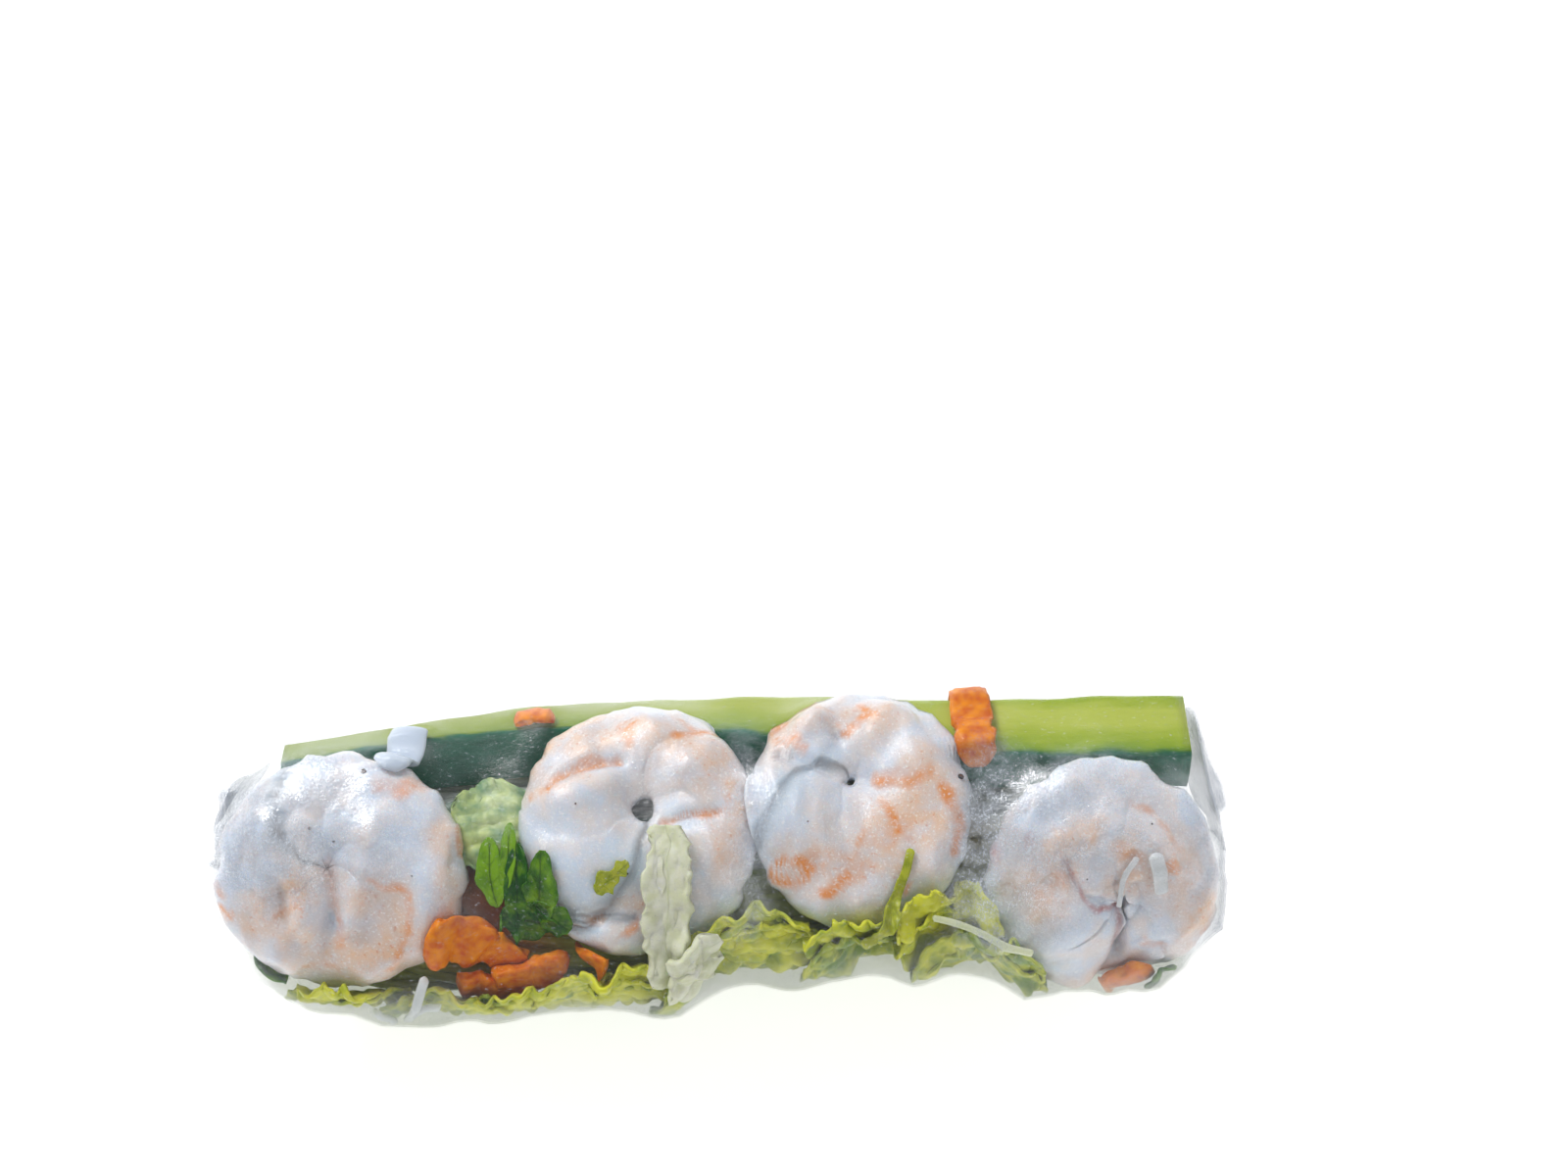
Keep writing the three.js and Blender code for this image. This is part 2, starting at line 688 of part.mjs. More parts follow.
function add(name, geometry, color, roughness = 0.5) {
  const mesh = new THREE.Mesh(geometry, new THREE.MeshStandardMaterial({ color, roughness }));
  mesh.name = name;
  roll.add(mesh);
  layers.add(geometry);
}

function addEach(name, layouts, make, color) {
  layouts.forEach((layout, i) => add(`${name}_${i + 1}`, make(layout), color));
}

const geometries = () => roll.children.map((mesh) => mesh.geometry);

add("cucumber_stick", cucumberStick(), COLOURS.cucumber);
add("lettuce_bed", leaf(BED), COLOURS.lettuce);
addEach("shrimp", SHRIMPS, shrimp, COLOURS.shrimp);
addEach("carrot_shred", CARROTS, strip, COLOURS.carrot);
addEach("lettuce_leaf", LETTUCES, leaf, COLOURS.lettuce);
addEach("lettuce_rib", RIBS, leaf, COLOURS.rib);
addEach("coriander_leaf", HERBS, leaf, COLOURS.herb);
add("lettuce_sliver", strip(SLIVER), COLOURS.lettuce);
addEach("noodle_strand", STRANDS, strip, COLOURS.noodle);
add("noodle_bundle", noodleBundle(geometries()), COLOURS.noodle);
add("rice_paper", ricePaper(geometries()), COLOURS.paper, 0.25);

// The origin is on the table, under the middle of the roll.
const middle = new THREE.Box3().setFromObject(roll).getCenter(new THREE.Vector3());
roll.position.set(-middle.x, -middle.y, -TABLE);

export default roll;
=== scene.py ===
"""Rice paper roll, dressed: curled shrimps, a cucumber stick, carrot, lettuce, coriander and rice noodles in
a taut translucent sheet.

Sizes are in millimetres in the layouts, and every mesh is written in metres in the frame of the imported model.
Pieces are laid in wrap coordinates: "along" runs along the roll and bends over its round ends, "around" is in
degrees from the top towards the front, and "out" is the distance from the spine in the middle of the roll.
"""

import json
import logging
import math
from collections.abc import Sequence
from dataclasses import dataclass, replace
from enum import Enum
from typing import ClassVar

import bmesh
import bpy
import numpy as np
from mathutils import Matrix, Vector
from mathutils.bvhtree import BVHTree

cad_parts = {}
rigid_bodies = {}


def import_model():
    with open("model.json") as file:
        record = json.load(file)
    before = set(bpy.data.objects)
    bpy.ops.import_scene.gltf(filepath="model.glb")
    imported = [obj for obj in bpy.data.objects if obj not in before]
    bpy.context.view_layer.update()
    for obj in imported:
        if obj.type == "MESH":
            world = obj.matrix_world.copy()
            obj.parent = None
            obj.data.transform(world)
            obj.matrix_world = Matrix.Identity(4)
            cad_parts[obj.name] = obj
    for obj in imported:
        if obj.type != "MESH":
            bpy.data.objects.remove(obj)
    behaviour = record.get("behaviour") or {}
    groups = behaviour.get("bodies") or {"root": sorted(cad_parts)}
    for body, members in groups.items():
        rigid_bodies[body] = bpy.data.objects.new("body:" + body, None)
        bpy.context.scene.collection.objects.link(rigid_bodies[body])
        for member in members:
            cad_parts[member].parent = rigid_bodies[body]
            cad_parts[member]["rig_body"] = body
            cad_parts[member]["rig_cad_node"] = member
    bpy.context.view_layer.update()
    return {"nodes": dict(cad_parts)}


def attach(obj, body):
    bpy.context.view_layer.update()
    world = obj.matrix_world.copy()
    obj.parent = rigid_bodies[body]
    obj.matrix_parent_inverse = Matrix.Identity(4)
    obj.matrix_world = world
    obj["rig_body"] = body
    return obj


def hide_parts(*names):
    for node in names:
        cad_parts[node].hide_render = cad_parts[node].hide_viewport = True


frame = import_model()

LOG = logging.getLogger("rice_paper_roll")
Array = np.ndarray
Object = bpy.types.Object
Material = bpy.types.Material
Socket = bpy.types.NodeSocket
Colour = tuple[int, int, int]
Stop = tuple[float, float]
Route = Sequence[Stop]
MM = 0.001
TURN = 360.0
CIRCLE = 2 * math.pi
GAP = 0.3  # between a piece and what it lies on
OUTSIDE = 40.0  # from the spine, past every piece
INSIDE = 0.01  # from the spine, short of every piece
NOWHERE = 99.0  # how near a place is reached where nothing lies
TABLE = 0.02  # the film's height over the table where it rests
FINEST_ORANGE = 0.66  # the finest reach of an orange streak


# ---------------------------------------------------------------- coordinates and fields
@dataclass(frozen=True)
class Wrap:
    """The coordinates that follow the roll: a straight spine with a round end at each side.

    Attributes:
        spine: Half the length of the spine.
        cap_radius: Turns the bend over a round end into millimetres along.
        arc_radius: Turns the angle around into millimetres.
        centre: The middle of the spine.
    """

    spine: float = 52.0
    cap_radius: float = 17.0
    arc_radius: float = 18.0
    centre: tuple[float, float, float] = (-0.482, 2.629, 17.0)

    def place(self, along: Array, around: Array, out: Array | float) -> Array:
        """Turns wrap coordinates into points.

        Args:
            along: Distance along the roll.
            around: Degrees from the top towards the front.
            out: Distance from the spine.

        Returns:
            Points in millimetres, with x, y and z on the last axis.
        """
        along, around, out = np.broadcast_arrays(along, around, out)
        lean = np.maximum(np.abs(along) - self.spine, 0) / self.cap_radius
        across = out * np.cos(lean)
        turn = np.radians(around)
        x = np.clip(along, -self.spine, self.spine) + np.sign(along) * out * np.sin(lean)
        return np.stack([x, -across * np.sin(turn), across * np.cos(turn)], axis=-1) + self.centre

    def read(self, points: Array) -> tuple[Array, Array, Array]:
        """Turns points into wrap coordinates.

        Args:
            points: Points in millimetres.

        Returns:
            Along, around and out.
        """
        x, y, z = np.moveaxis(points - np.array(self.centre), -1, 0)
        past = np.maximum(np.abs(x) - self.spine, 0)
        across = np.hypot(y, z)
        bent = np.sign(x) * np.arctan2(past, across) * self.cap_radius
        along = np.clip(x, -self.spine, self.spine) + bent
        return along, np.degrees(np.arctan2(-y, z)), np.hypot(past, across)


@dataclass(frozen=True)
class Waves:
    """A smooth uneven field of about one wavelength, between -1 and 1."""

    seed: int
    length: float
    count: int = 14
    spread: Stop = (0.6, 1.7)
    gain: float = 0.9

    def at(self, points: Array) -> Array:
        """Reads the field.

        Args:
            points: Points with x, y and z on the last axis.

        Returns:
            The field at each of them.
        """
        rng = np.random.default_rng(self.seed)
        ways = rng.normal(size=(3, self.count))
        lengths = np.linalg.norm(ways, axis=0) * self.length * rng.uniform(*self.spread, self.count)
        ways *= CIRCLE / lengths
        waves = np.sin(points @ ways + rng.uniform(0, CIRCLE, self.count))
        return np.clip(waves.sum(-1) / math.sqrt(self.count) * self.gain, -1, 1)


def sway(seeds: tuple[int, int], length: float, points: Array) -> Array:
    """Two fields side by side, which move the points of a plan."""
    return np.stack([Waves(seed, length).at(points) for seed in seeds], -1)


def stacked(*parts: Array | float) -> Array:
    """Parts of matching sizes, side by side on a last axis."""
    return np.stack(np.broadcast_arrays(*parts), axis=-1)


def smooth(value: Array, low: float, high: float) -> Array:
    """An even rise from 0 at low to 1 at high."""
    t = np.clip((value - low) / (high - low), 0, 1)
    return t * t * (3 - 2 * t)


def bell(value: Array, reach: float) -> Array:
    """A bell of height 1 over 0 that fades out at a reach."""
    return np.exp(-((value / reach) ** 2))


def squared(wave: Array, power: float) -> Array:
    """A sine or cosine whose round is drawn towards a square by a power under 1."""
    return np.sign(wave) * np.abs(wave) ** power


def off_by(around: Array, middle: float) -> Array:
    """Degrees from a middle, the short way round."""
    return (around - middle + TURN / 2) % TURN - TURN / 2


def round_columns(count: int) -> Array:
    """The angles of a number of columns round a tube, as a row."""
    return np.arange(count)[None, :] * CIRCLE / count


def neighbours(values: Array, closed: bool = True) -> Array:
    """Averages the four neighbours of each cell of a grid.

    Args:
        values: The grid.
        closed: Whether its columns close on themselves.

    Returns:
        A grid of the means.
    """
    tall = np.pad(values, ((1, 1), (0, 0)), mode="edge")
    wide = np.pad(values, ((0, 0), (1, 1)), mode="wrap" if closed else "edge")
    return (tall[:-2] + tall[2:] + wide[:, :-2] + wide[:, 2:]) / 4


def eased(values: Array, rounds: int) -> Array:
    """Smooths a grid that closes on itself.

    Args:
        values: The grid.
        rounds: How often each cell is drawn half way to its neighbours.

    Returns:
        The smoothed grid.
    """
    for _ in range(rounds):
        values = (values + neighbours(values)) / 2
    return values


def spread(values: Array, cells: int) -> Array:
    """Finds the largest value near each cell of a grid that closes on itself.

    Args:
        values: The grid.
        cells: How many cells count as near.

    Returns:
        A grid of the largest values.
    """
    for _ in range(cells):
        tall = np.pad(values, ((1, 1), (0, 0)), mode="edge")
        values = np.maximum(values, np.maximum(tall[:-2], tall[2:]))
        wide = np.pad(values, ((0, 0), (1, 1)), mode="wrap")
        values = np.maximum(values, np.maximum(wide[:, :-2], wide[:, 2:]))
    return values


def sample(values: Array, along: Array, around: Array, reach: float) -> Array:
    """Reads a grid of the roll between its cells.

    Args:
        values: The grid, with rows along the roll and columns around it.
        along: Where along the roll.
        around: Where around it.
        reach: How far the rows go to each side of the middle.

    Returns:
        The values at those places.
    """
    rows, columns = values.shape[0] - 1, values.shape[1]
    row = np.clip((along / reach + 1) / 2 * rows, 0, rows - 1e-6)
    column = (around / TURN * columns) % columns
    r, c = np.floor(row).astype(int), np.floor(column).astype(int)
    down, over = row - r, column - c
    d = (c + 1) % columns
    top = values[r, c] * (1 - over) + values[r, d] * over
    return top * (1 - down) + (values[r + 1, c] * (1 - over) + values[r + 1, d] * over) * down


def through(stops: Sequence[Sequence[float]], shares: Array) -> Array:
    """Follows a smooth curve.

    Args:
        stops: The points that it passes through.
        shares: Shares of it, from 0 to 1.

    Returns:
        Its points at those shares.
    """
    stops = np.asarray(stops, float)
    stops = np.vstack([2 * stops[0] - stops[1], stops, 2 * stops[-1] - stops[-2]])
    place = np.clip(shares, 0, 1) * (len(stops) - 3)
    k = np.minimum(place.astype(int), len(stops) - 4)
    t = (place - k)[:, None]
    a, b, c, d = stops[k], stops[k + 1], stops[k + 2], stops[k + 3]
    return b + t * (c - a) / 2 + t**2 * (a - 2.5 * b + 2 * c - d / 2) + t**3 * (1.5 * (b - c) + (d - a) / 2)


def along_route(route: Route, shares: Array, arc_radius: float) -> tuple[Array, Array]:
    """Follows a smooth path through stops of along and around.

    Args:
        route: The stops.
        shares: Shares of the route, from 0 to 1.
        arc_radius: Turns the angle around into millimetres.

    Returns:
        Points and unit headings in a flat plan of the roll, in millimetres.
    """
    stops = [(along, math.radians(around) * arc_radius) for along, around in route]
    step = 1e-3
    heading = through(stops, np.minimum(shares + step, 1)) - through(stops, np.maximum(shares - step, 0))
    return through(stops, shares), heading / np.linalg.norm(heading, axis=1, keepdims=True)


def beside(path: Array, heading: Array, side: Array, arc_radius: float) -> tuple[Array, Array]:
    """Finds places beside a path.

    Args:
        path: Its points in the flat plan.
        heading: Its unit headings.
        side: Distances to the side of each point, one row for each.
        arc_radius: Turns the angle around into millimetres.

    Returns:
        Their along and around.
    """
    along = path[:, :1] - heading[:, 1:] * side
    return along, np.degrees((path[:, 1:] + heading[:, :1] * side) / arc_radius)


# ---------------------------------------------------------------- blanks
class Blank:
    """A primitive in rows and columns, whose vertices are then put where the piece needs them."""

    def __init__(self, piece: Object, grid: tuple[int, int], row: Array, column: Array, hub: Array) -> None:
        """Keeps the grid's size, each vertex's row and column, and which vertices are hubs of end caps."""
        self.piece, self.grid, self.row, self.column, self.hub = piece, grid, row, column, hub

    @classmethod
    def sheet(cls, name: str, rows: int, columns: int) -> "Blank":
        """Makes a flat sheet.

        Args:
            name: The mesh's name.
            rows: Of faces along it.
            columns: Of faces across it.

        Returns:
            The blank.
        """
        bpy.ops.object.select_all(action="DESELECT")
        bpy.ops.mesh.primitive_grid_add(
            x_subdivisions=rows, y_subdivisions=columns, size=2, location=(0, 0, 0)
        )
        piece = named(name)
        at = vertices(piece)
        grid = (rows + 1, columns + 1)
        return cls(piece, grid, cell(at[:, 0], rows), cell(at[:, 1], columns), np.zeros(len(at), bool))

    @classmethod
    def tube(cls, name: str, rows: int, columns: int) -> "Blank":
        """Makes a closed tube with a hub in each end cap.

        Args:
            name: The mesh's name.
            rows: Of faces along it.
            columns: Of faces round it.

        Returns:
            The blank.
        """
        bpy.ops.object.select_all(action="DESELECT")
        bpy.ops.mesh.primitive_cylinder_add(
            vertices=columns, radius=1, depth=2, end_fill_type="TRIFAN", location=(0, 0, 0)
        )
        piece = named(name)
        bpy.ops.object.mode_set(mode="EDIT")
        bpy.ops.mesh.select_all(action="DESELECT")
        mesh = bmesh.from_edit_mesh(piece.data)
        for edge in mesh.edges:
            edge.select_set(abs(edge.verts[0].co.z - edge.verts[1].co.z) > 1)
        bmesh.update_edit_mesh(piece.data)
        bpy.ops.mesh.subdivide(number_cuts=rows - 1)
        bpy.ops.object.mode_set(mode="OBJECT")
        x, y, z = vertices(piece).T
        column = np.rint(np.arctan2(y, x) / CIRCLE * columns).astype(int) % columns
        return cls(piece, (rows + 1, columns), cell(z, rows), column, np.hypot(x, y) < 0.5)

    def of_each(self, values: Array | float) -> Array:
        """Deals a grid of values out to the vertices.

        Args:
            values: The grid, or one value for all of it.

        Returns:
            The value of each vertex, which for a hub is the mean of its ring.
        """
        values = np.broadcast_to(np.asarray(values, float), self.grid + np.shape(values)[2:])
        flat = values[self.row, self.column]
        flat[self.hub] = values.mean(axis=1)[self.row[self.hub]]
        return flat

    def shape(self, points: Array) -> "Blank":
        """Puts the vertices where they belong.

        Args:
            points: A grid of points in millimetres.

        Returns:
            The blank itself.
        """
        self.piece.data.vertices.foreach_set("co", (self.of_each(points) * MM).ravel())
        self.piece.data.update()
        return self

    def mark(self, **grids: Array | float) -> None:
        """Stores grids of values by name, for the finish."""
        for name, values in grids.items():
            store(self.piece, name, self.of_each(values))


def cell(at: Array, count: int) -> Array:
    """The row or column of places between -1 and 1."""
    return np.rint((at + 1) / 2 * count).astype(int)


def named(name: str) -> Object:
    """Names the active piece and its mesh.

    Args:
        name: The new name.

    Returns:
        The piece.
    """
    piece = bpy.context.active_object
    piece.name = piece.data.name = name
    return piece


def vertices(piece: Object) -> Array:
    """Reads the vertices of a piece.

    Args:
        piece: The piece.

    Returns:
        Their places, in its own unit.
    """
    at = np.empty(len(piece.data.vertices) * 3)
    piece.data.vertices.foreach_get("co", at)
    return at.reshape(-1, 3)


def store(piece: Object, name: str, values: Array) -> None:
    """Stores a value for each vertex, which the finish reads by its name."""
    attribute = piece.data.attributes.new(name, "FLOAT", "POINT")
    attribute.data.foreach_set("value", values.astype(np.float32))


def activate(piece: Object) -> None:
    """Selects one piece alone and makes it active.

    Args:
        piece: The piece.
    """
    bpy.ops.object.select_all(action="DESELECT")
    piece.select_set(True)
    bpy.context.view_layer.objects.active = piece


def apply_modifier(piece: Object, kind: str, **settings: object) -> None:
    """Adds a modifier and applies it.

    Args:
        piece: The piece.
        kind: The modifier's type.
        settings: The modifier's own settings.
    """
    activate(piece)
    modifier = piece.modifiers.new(kind.lower(), kind)
    for name, value in settings.items():
        setattr(modifier, name, value)
    bpy.ops.object.modifier_apply(modifier=modifier.name)


def thicken(piece: Object, thickness: float) -> None:
    """Gives a sheet its thickness in millimetres, inwards."""
    apply_modifier(piece, "SOLIDIFY", thickness=thickness * MM, offset=-1, use_even_offset=False)


def join(pieces: Sequence[Object], name: str) -> Object:
    """Joins pieces into one mesh.

    Args:
        pieces: The pieces, or a single one.
        name: The mesh's name.

    Returns:
        The joined piece.
    """
    if len(pieces) == 1:
        return pieces[0]
    activate(pieces[0])
    for piece in pieces[1:]:
        piece.select_set(True)
    bpy.ops.object.join()
    return named(name)


def dress(piece: Object, material: Material) -> None:
    """Turns a piece's faces outwards, shades it smooth, and puts its material and the roll's body on it.

    Args:
        piece: The closed piece.
        material: Its finish.
    """
    activate(piece)
    bpy.ops.object.mode_set(mode="EDIT")
    bpy.ops.mesh.select_all(action="SELECT")
    bpy.ops.mesh.normals_make_consistent(inside=False)
    bpy.ops.object.mode_set(mode="OBJECT")
    bpy.ops.object.shade_smooth()
    piece.data.materials.clear()
    piece.data.materials.append(material)
    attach(piece, "root")
    LOG.info("%s: %d faces", piece.name, len(piece.data.polygons))


# ---------------------------------------------------------------- what is laid
class Layers:
    """How far from the spine, and how near to it, the pieces laid so far reach, on a grid of the roll."""

    def __init__(self, wrap: Wrap, rows: int = 420, columns: int = 324, reach: float = 80.0) -> None:
        """Makes an empty grid.

        Args:
            wrap: The roll's coordinates.
            rows: Of cells along the roll.
            columns: Of cells around it.
            reach: How far it goes to each side of the middle.
        """
        self.wrap, self.rows, self.columns, self.reach = wrap, rows, columns, reach
        self.far = np.zeros((rows + 1, columns))
        self.near = np.full((rows + 1, columns), NOWHERE)
        self.wide: Array | None = None

    def add(self, piece: Object) -> None:
        """Counts a piece as laid, by casting rays at it from outside and from the spine.

        Args:
            piece: The piece.
        """
        mesh = bmesh.new()
        mesh.from_mesh(piece.data)
        tree = BVHTree.FromBMesh(mesh)
        mesh.free()
        places = self.cells_of(piece)
        at = (places[:, 0] / self.rows * 2 - 1) * self.reach
        turn = places[:, 1] * (TURN / self.columns)
        outer, inner = (self.wrap.place(at, turn, out) * MM for out in (OUTSIDE, INSIDE))
        for (row, column), start, end in zip(places, outer, inner):
            way = Vector(end - start)
            hit = tree.ray_cast(Vector(start), way)
            if hit[0] is None:
                continue
            column %= self.columns
            self.far[row, column] = max(self.far[row, column], OUTSIDE - hit[3] / MM)
            back = tree.ray_cast(Vector(end), -way)
            if back[0] is not None:
                self.near[row, column] = min(self.near[row, column], back[3] / MM)
        self.wide = None

    def cells_of(self, piece: Object) -> Array:
        """Finds the cells that a piece may lie in.

        Args:
            piece: The piece.

        Returns:
            Rows and columns, which may run past the last column.
        """
        along, around, _ = self.wrap.read(vertices(piece) / MM)
        turn = np.radians(around)
        middle = math.degrees(math.atan2(np.sin(turn).mean(), np.cos(turn).mean()))
        off = off_by(around, middle)
        step = TURN / self.columns
        first = math.floor((middle + off.min()) / step) - 1
        last = math.ceil((middle + off.max()) / step) + 1
        low, high = (round((a / self.reach + 1) / 2 * self.rows) for a in (along.min() - 1, along.max() + 1))
        rows = np.arange(max(low, 0), min(high, self.rows) + 1)
        columns = np.arange(first, min(last, first + self.columns - 1) + 1)
        return np.stack(np.meshgrid(rows, columns, indexing="ij"), -1).reshape(-1, 2)

    def read(self, values: Array, along: Array, around: Array) -> Array:
        """The values of a grid like this one at some places."""
        return sample(values, along, around, self.reach)

    def under(self, along: Array, around: Array) -> Array:
        """Finds what lies near some places.

        Args:
            along: Where along the roll.
            around: Where around it.

        Returns:
            How far out it reaches, and 0 where nothing lies.
        """
        if self.wide is None:
            self.wide = spread(self.far, 1)
        return self.read(self.wide, along, around)

    def drape(self, along: Array, around: Array, depth: float, rounds: int) -> Array:
        """Lays a slack sheet over what is laid.

        Args:
            along: Grid of distances along the roll.
            around: Grid of degrees around it.
            depth: The sheet lies nowhere under this distance from the spine.
            rounds: How far it bridges hollows.

        Returns:
            The distance from the spine at each place.
        """
        floor = np.maximum(self.under(along, around) + GAP, depth)
        heights = floor
        for _ in range(rounds):
            heights = np.maximum(floor, neighbours(heights, False))
        return heights


# ---------------------------------------------------------------- finishes
def linear(colour: Colour) -> tuple[float, float, float, float]:
    """Turns a display colour into a socket's colour.

    Args:
        colour: Red, green and blue from 0 to 255.

    Returns:
        The same in linear light, with full cover.
    """
    parts = [part / 255 for part in colour]
    red, green, blue = (p / 12.92 if p <= 0.04045 else ((p + 0.055) / 1.055) ** 2.4 for p in parts)
    return red, green, blue, 1.0


class Shader:
    """One material: a principled shader and the nodes that drive it."""

    def __init__(self, name: str, roughness: float, ior: float = 1.4, specular: float = 0.15) -> None:
        """Makes the material and sets its gloss.

        Args:
            name: The material's name.
            roughness: From 0 for gloss to 1 for matt.
            ior: How strongly it bends light.
            specular: How much light it mirrors, 0.5 for all.
        """
        self.material = bpy.data.materials.new(name)
        self.material.use_nodes = True
        self.tree = self.material.node_tree
        self.principled = self.tree.nodes["Principled BSDF"]
        self.object = self.tree.nodes.new("ShaderNodeTexCoord").outputs["Object"]
        self.set("Roughness", roughness)
        self.set("IOR", ior)
        self.set("Specular IOR Level", specular)

    def set(self, name: str, value: object) -> None:
        """Sets a socket of the shader, or links an output to it."""
        self.feed(self.principled.inputs[name], value)

    def feed(self, socket: Socket, value: object) -> None:
        """Gives a socket a value.

        Args:
            socket: The socket.
            value: A number, a colour or another node's output.
        """
        if isinstance(value, Socket):
            self.tree.links.new(value, socket)
        else:
            socket.default_value = value

    def node(self, kind: str, output: int, inputs: dict[int, object], **settings: object) -> Socket:
        """Adds a node.

        Args:
            kind: The node's type, without ShaderNode.
            output: Which output to return.
            inputs: Values or outputs for its sockets, by their number.
            settings: The node's own settings.

        Returns:
            The chosen output.
        """
        made = self.tree.nodes.new("ShaderNode" + kind)
        for name, value in settings.items():
            setattr(made, name, value)
        for number, value in inputs.items():
            self.feed(made.inputs[number], value)
        return made.outputs[output]

    def noise(self, size: float, detail: float = 2.0, stretch: Sequence[float] = (1, 1, 1)) -> Socket:
        """Noise with grains of a size in millimetres, stretched along the axes."""
        place = self.node("Mapping", 0, {0: self.object, 3: tuple(1 / s for s in stretch)})
        return self.node("TexNoise", 0, {0: place, 2: 1 / (size * MM), 3: detail, 4: 0.55})

    def attribute(self, name: str) -> Socket:
        """A value stored on the piece."""
        return self.node("Attribute", 2, {}, attribute_name=name)

    def times(self, a: object, b: object) -> Socket:
        """The product of two values."""
        return self.node("Math", 0, {0: a, 1: b}, operation="MULTIPLY")

    def plus(self, a: object, b: object) -> Socket:
        """The sum of two values."""
        return self.node("Math", 0, {0: a, 1: b}, operation="ADD")

    def band(self, value: object, low: float, high: float, to: Stop = (0.0, 1.0)) -> Socket:
        """A value from between low and high, spread over another range."""
        return self.node("MapRange", 0, {0: value, 1: low, 2: high, 3: to[0], 4: to[1]})

    def mix(self, share: object, a: object, b: object) -> Socket:
        """A mix of two colours, each a display colour or an output."""
        a, b = (linear(c) if isinstance(c, tuple) else c for c in (a, b))
        return self.node("Mix", 2, {0: share, 6: a, 7: b}, data_type="RGBA")

    def ramp(self, value: object, stops: Sequence[tuple[float, Colour]]) -> Socket:
        """Adds a colour ramp.

        Args:
            value: What it reads.
            stops: Its places and colours.

        Returns:
            Its colour.
        """
        made = self.tree.nodes.new("ShaderNodeValToRGB")
        ramp = made.color_ramp
        while len(ramp.elements) < len(stops):
            ramp.elements.new(0.5)
        for element, (place, colour) in zip(ramp.elements, stops):
            element.position = place
            element.color = linear(colour)
        self.feed(made.inputs[0], value)
        return made.outputs[0]

    def bump(self, height: object, depth: float, strength: float = 1.0, over: Socket | None = None) -> Socket:
        """Adds a relief.

        Args:
            height: Its pattern.
            depth: In millimetres.
            strength: How much of it shows.
            over: Another relief that it lies on.

        Returns:
            The relief as a normal.
        """
        made = self.tree.nodes.new("ShaderNodeBump")
        for name, value in (("Strength", strength), ("Distance", depth * MM), ("Height", height)):
            self.feed(made.inputs[name], value)
        if over is not None:
            self.feed(made.inputs["Normal"], over)
        return made.outputs[0]

    def flesh(self, weight: float, radius: Sequence[float], scale: float) -> None:
        """Lets light scatter inside.

        Args:
            weight: How much of it does.
            radius: How far red, green and blue get.
            scale: Turns those into millimetres.
        """
        self.set("Subsurface Weight", weight)
        self.set("Subsurface Radius", tuple(radius))
        self.set("Subsurface Scale", scale * MM)

    def wet(self, weight: float, roughness: float) -> None:
        """Adds a skin of moisture with the fine grain of the film that clings to it.

        Args:
            weight: How much of it there is.
            roughness: From 0 for gloss to 1 for matt.
        """
        grain = self.bump(self.noise(size=0.22, stretch=(1.5, 1, 1)), depth=0.09)
        for name, value in (("Weight", weight), ("Roughness", roughness), ("Normal", grain)):
            self.set("Coat " + name, value)


@dataclass(frozen=True)
class ShrimpFlesh:
    """Cooked shrimp: bluish white, blushed pink, with orange streaks and fine orange specks, painted shade in
    its grooves and painted white glints.
    """

    white: Colour = (216, 227, 242)
    warm: Colour = (230, 224, 224)
    blush: Colour = (240, 194, 150)
    orange: Colour = (232, 142, 44)
    red: Colour = (190, 84, 60)
    speck: Colour = (214, 122, 78)
    # painted shade: the bluish grey laid into the grooves and the segment seams
    hollow: Colour = (196, 202, 214)
    # painted highlight: the white of sparkle specks laid into the flesh colour
    painted_glint: Colour = (252, 252, 254)
    patch: float = 2.2

    def material(self) -> Material:
        """Makes the material.

        Returns:
            The material.
        """
        shader = Shader("shrimp_flesh", roughness=0.3)
        blushed = shader.attribute("blush")
        body = shader.mix(shader.band(shader.noise(size=5.0, detail=3), 0.42, 0.62), self.white, self.warm)
        patchy = shader.band(shader.noise(self.patch, detail=3), 0.3, 0.7, (0.4, 0.95))
        body = shader.mix(shader.times(blushed, patchy), body, self.blush)
        dots = shader.times(shader.band(shader.noise(size=0.55, detail=1), 0.66, 0.72), blushed)
        body = shader.mix(shader.times(dots, 0.5), body, self.speck)
        # painted shade darkens the grooves and the segment seams
        body = shader.mix(shader.times(shader.attribute("hollow"), 0.35), body, self.hollow)
        body = shader.mix(self.torn(shader, Mark.ORANGE, 0.9), body, self.orange)
        body = shader.mix(self.torn(shader, Mark.RED, 0.75), body, self.red)
        # painted glints: white sparkle specks in the base colour
        body = shader.mix(shader.band(shader.noise(size=0.34), 0.56, 0.7, (0.0, 0.6)), body, self.painted_glint)
        shader.set("Base Color", body)
        shader.flesh(weight=0.6, radius=(1.5, 1.1, 0.9), scale=1.0)
        shader.wet(weight=0.9, roughness=0.2)
        fibres = shader.bump(shader.noise(size=0.8, detail=3, stretch=(1, 2.5, 1)), depth=0.12, strength=0.6)
        shader.set("Normal", shader.bump(shader.noise(size=0.28), depth=0.05, strength=0.5, over=fibres))
        return shader.material

    def torn(self, shader: Shader, mark: "Mark", most: float) -> Socket:
        """A stored tint, broken up by noise, from 0 to the most that it covers."""
        patchy = shader.band(shader.noise(self.patch, detail=1), 0.3, 0.7, (0.45, 1.0))
        return shader.band(shader.times(shader.attribute(mark.value), patchy), 0.16, 0.8, (0.0, most))


